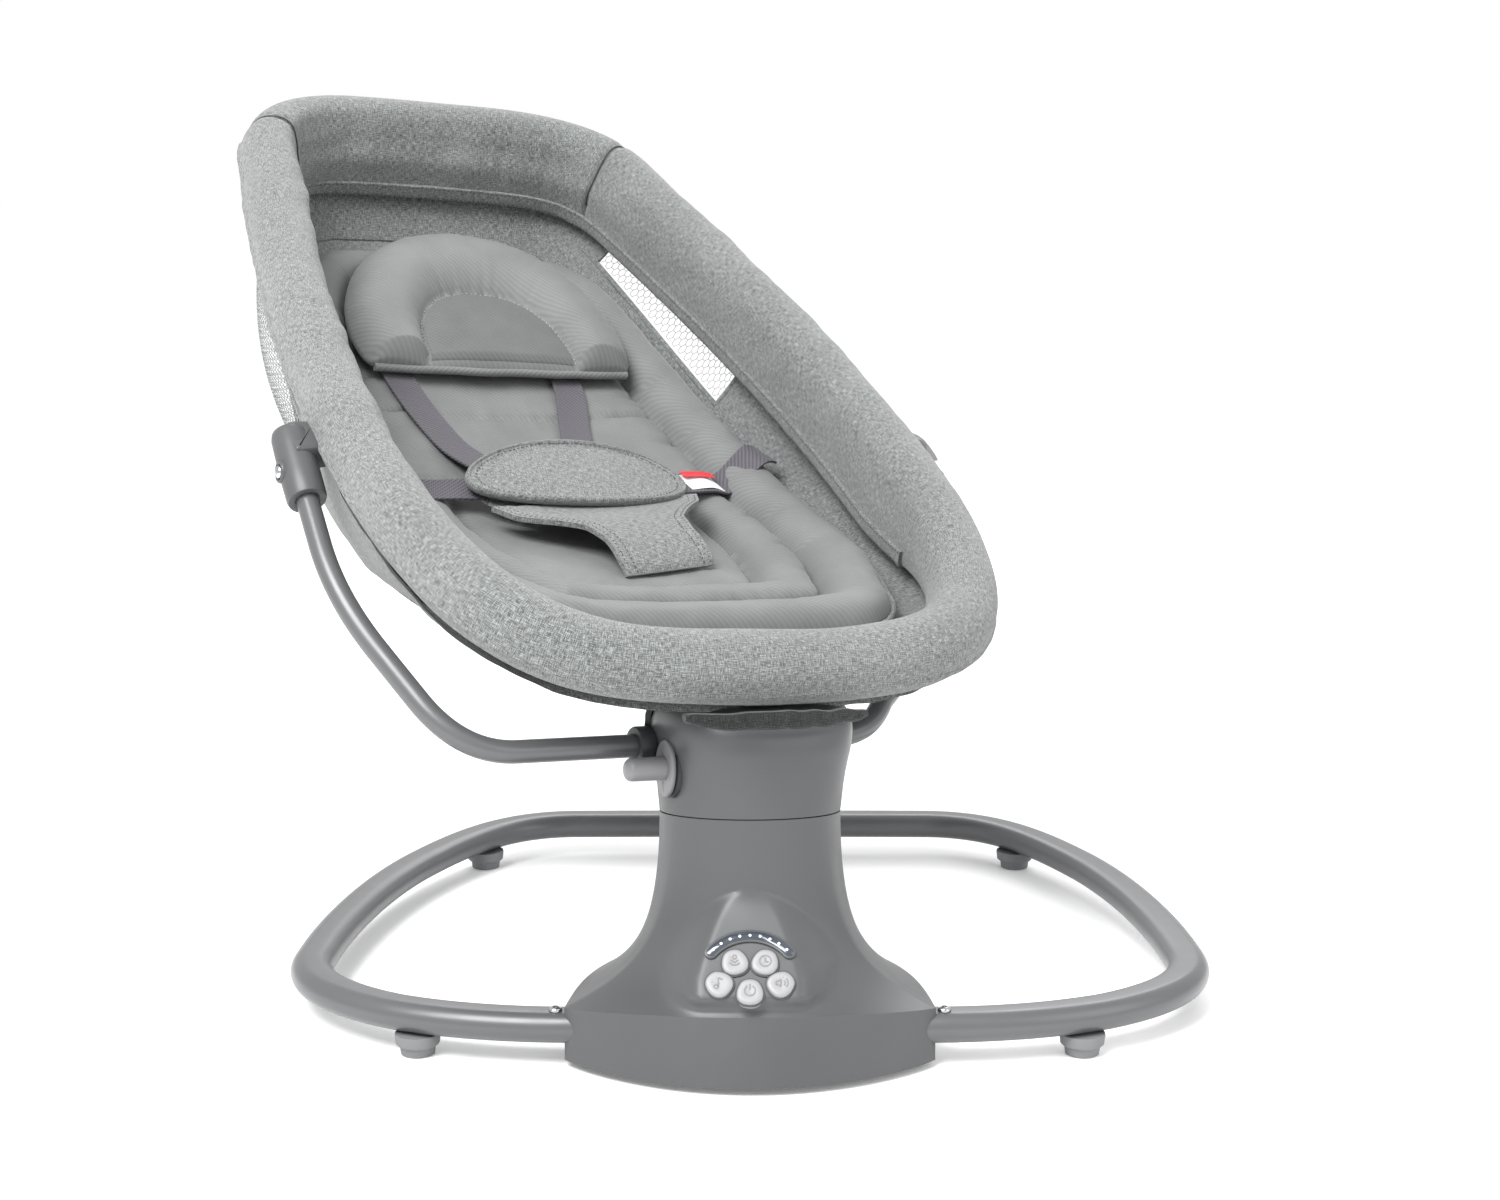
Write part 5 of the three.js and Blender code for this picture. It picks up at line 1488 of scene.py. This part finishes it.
def build_harness():
    left = [(-88, 468, 3), (-85, 430, 3), (-79, 390, 3), (-71, 350, 5), (-60, 312, 16)]
    right = [(60, 468, 3), (56, 430, 3), (45, 390, 3), (33, 350, 6), (24, 312, 16)]
    band("shoulder_band_left", left, WEBBING, "shoulder_strap_left")
    band("shoulder_band_right", right, WEBBING, "shoulder_strap_right")
    waist_l = [(-176, 306, 4), (-156, 300, 3), (-128, 291, 3), (-90, 279, 12), (-40, 272, 19)]
    waist_r = [(180, 322, 8), (164, 314, 4), (142, 306, 3), (118, 298, 6), (86, 287, 14), (40, 276, 19)]
    band("waist_band_left", waist_l, WEBBING, "waist_strap_left")
    band("waist_band_right", waist_r, WEBBING, "waist_strap_right")
    band("care_label", [(134, 303, 6.0), (118, 298, 8.6), (96, 291, 14.0)], LABEL, None, 19.0, 0.5)
    band(
        "care_label_band", [(131.0, 309.5, 8.4), (116, 304.8, 11.2), (96, 298, 16.6)], RED_BAND, None,
        7.0, 0.5
    )
    crotch = [(15, 150, 2), (14, 157, 8), (12, 178, 17), (8, 204, 21), (4, 232, 19), (2, 250, 18)]
    widths = np.array([76.0, 76, 76, 84, 120, 160, 176])
    piece, path, across, up = band("crotch_piece", crotch, HEATHER, "crotch_strap", widths, 4.0)
    half = np.interp(np.linspace(0, 1, len(path)), np.linspace(0, 1, len(widths)), widths) / 2
    declare_sheet(
        np.stack([path - across * half[:, None], path + across * half[:, None]], axis=1)
    )
    for k, back in enumerate((3.2, 9.0)):
        for word, side in SIDES:
            line = path + across * ((half - back) * side)[:, None] + up * 4.1
            stitches(f"crotch_stitches_{word}_{k}", line, up, "seat", SEAM_THREAD, SEAT, 2.4, 1.4, 0.4)


def ellipse(a, b, count=96):
    t = np.linspace(0, 2 * math.pi, count, endpoint=False)
    return np.stack([a * np.cos(t), b * np.sin(t)], 1)


def build_cover():
    centre = np.array([-4.0, 275.0])
    base = float(pad_top(272)) + 6 + 9 + 9
    rows = []
    levels = [
        (0.55, 0.0), (0.93, 0.2), (0.985, 0.9), (1.0, 2.4), (0.995, 4.0), (0.965, 5.4), (0.93, 5.0),
        (0.90, 4.4), (0.7, 5.2), (0.45, 5.9), (0.2, 6.2)
    ]
    for k, (size, up) in enumerate(levels):
        e = ellipse(89 * size, 39 * size)
        p = e + centre
        dip = -0.0016 * e[:, 0] ** 2 + 0.6 * np.array(
            [noise.noise(Vector((q[0] / 22, q[1] / 16, 1.5))) for q in e]
        )
        rows.append(np.column_stack([p, base + up + dip * 0.8]))
    rim_line = ellipse(87.6, 37.6, 160)
    dip = -0.0016 * rim_line[:, 0] ** 2 * 0.8
    edge = np.column_stack([rim_line + centre, base + 3.4 + dip])
    out = np.column_stack([rim_line / np.linalg.norm(rim_line, axis=1)[:, None], np.zeros(160)])
    ring = circle(1, 12) * (2.2, 3.6)
    bound = [edge[k] + out[k] * ring[:, :1] + np.array([0, 0, 1.0]) * ring[:, 1:] for k in range(160)]
    grid("buckle_pad_binding", bound, SEAT, HEATHER, "seat", loop=True, sharp=None)
    inner = np.column_stack([rim_line * 0.93 + centre, base + 5.2 + dip * 0.86])
    stitches(
        "buckle_pad_stitches", inner, np.tile((0, 0, 1.0), (160, 1)), "seat", SEAM_THREAD, SEAT, 2.4, 1.4,
        0.4
    )
    piece = grid("buckle_pad", rows, SEAT, HEATHER, "seat", replaces=["buckle_cover"], sharp=75, flat=True)
    lower = []
    for size, up in ((0.5, -6.5), (0.94, -6.2), (0.99, -4.8), (0.97, -3.2), (0.6, -2.8)):
        e = ellipse(84 * size, 34 * size)
        dip = -0.0012 * e[:, 0] ** 2
        lower.append(np.column_stack([e + centre + (4, -7), base + up - 3 + dip]))
    grid("buckle_pad_lower", lower, SEAT, HEATHER, "seat", sharp=75, flat=True)


def build_buckle():
    base = float(pad_top(272)) + 6
    rows = []
    for size, up in ((0.9, 0), (0.98, 0.6), (1, 2), (1, 6.5), (0.97, 8), (0.9, 8.8), (0.4, 9)):
        e = ellipse(25 * size, 21 * size, 64)
        rows.append(np.column_stack([e + (-2, 274), np.full(64, base + up - 3)]))
    grid("buckle_body", rows, SEAT, BUCKLE, "seat", replaces=["harness_buckle"], sharp=50)


# ---------------------------------------------------------------- carried-over CAD nodes
def finish_nodes():
    plain = {
        "base_bottom_cover": HOUSING,
        "loop_joint_sleeve": PAINT,
        "control_board": plastic("board", (0.02, 0.10, 0.045), (0.03, 0.13, 0.06), 0.5),
        "speaker": DARK,
        "gear_motor": CHROME,
        "drive_chassis": DARK,
        "upper_bearing": CHROME,
        "lower_bearing": CHROME,
        "dc_inlet": DARK,
        "drive_pinion": LIGHT,
        "swing_shaft": CHROME,
        "sector_gear": LIGHT,
        "lever_spring": CHROME,
        "lock_shoe": CHROME,
        "tilt_barrel": DARK,
        "recline_lock_plate": CHROME,
        "rim_tube_head": PAINT,
        "rim_tube_foot": PAINT,
    }
    for name, material in plain.items():
        obj = frame["nodes"][name]
        obj.data.materials.clear()
        obj.data.materials.append(material[0])


# ---------------------------------------------------------------- stage
def area(name, at, target, power, size):
    light = bpy.data.lights.new(name, "AREA")
    light.energy = power
    light.shape = "RECTANGLE"
    light.size, light.size_y = size
    obj = bpy.data.objects.new(name, light)
    obj.location = at
    obj.rotation_euler = (Vector(target) - Vector(at)).to_track_quat("-Z", "Y").to_euler()
    bpy.context.scene.collection.objects.link(obj)


def build_stage():
    n = Nodes("pale_floor")
    at = place_of(n)
    n.link(n.ramp(n.noise(at, 2.0), (0.3, (0.93, 0.93, 0.93)), (0.7, (0.95, 0.95, 0.95))), "Base Color")
    n.set(Roughness=0.9)
    n.shader.inputs["Emission Color"].default_value = (1, 1, 1, 1)
    n.shader.inputs["Emission Strength"].default_value = 0.12
    mesh = bpy.data.meshes.new("floor")
    s = 60
    mesh.from_pydata([(-s, -s, 0), (s, -s, 0), (s, s, 0), (-s, s, 0)], [], [(0, 1, 2, 3)])
    mesh.materials.append(n.material)
    obj = bpy.data.objects.new("floor", mesh)
    bpy.context.scene.collection.objects.link(obj)
    world = bpy.data.worlds.new("studio")
    world.use_nodes = True
    world.node_tree.nodes["Background"].inputs[0].default_value = (1, 1, 1, 1)
    world.node_tree.nodes["Background"].inputs[1].default_value = 1.0
    bpy.context.scene.world = world
    bpy.context.scene.view_settings.view_transform = "Standard"
    target = (RING.x - 0.05, RING.y + 0.2, 0.3)
    area("key", (-0.9, -1.5, 2.3), target, 108, (1.5, 1.5))
    area("fill", (1.9, -1.2, 1.4), target, 14, (1.6, 1.6))
    area("rim", (0.3, 2.2, 1.9), target, 30, (2.0, 1.2))


def build_camera():
    data = bpy.data.cameras.new("camera")
    data.lens = 57.6
    data.sensor_width = 36
    obj = bpy.data.objects.new("camera", data)
    obj.location = (RING.x, RING.y - 1.5296, 0.553)
    obj.rotation_euler = (math.pi / 2 - 9.764 * DEG, 0, 0)
    bpy.context.scene.collection.objects.link(obj)
    bpy.context.scene.camera = obj


build_camera()
build_stage()
build_housing()
build_loop()
build_feet()
build_buttons()
build_window()
build_head()
build_lever()
build_arms()
build_bumper()
build_outer_seam()
build_tape()
build_tape_stitches()
build_hem()
build_windows()
build_tub()
build_floor()
build_pad()
build_pad_seams()
build_pillow()
build_pillow_panel()
build_harness()
build_cover()
build_buckle()
finish_nodes()
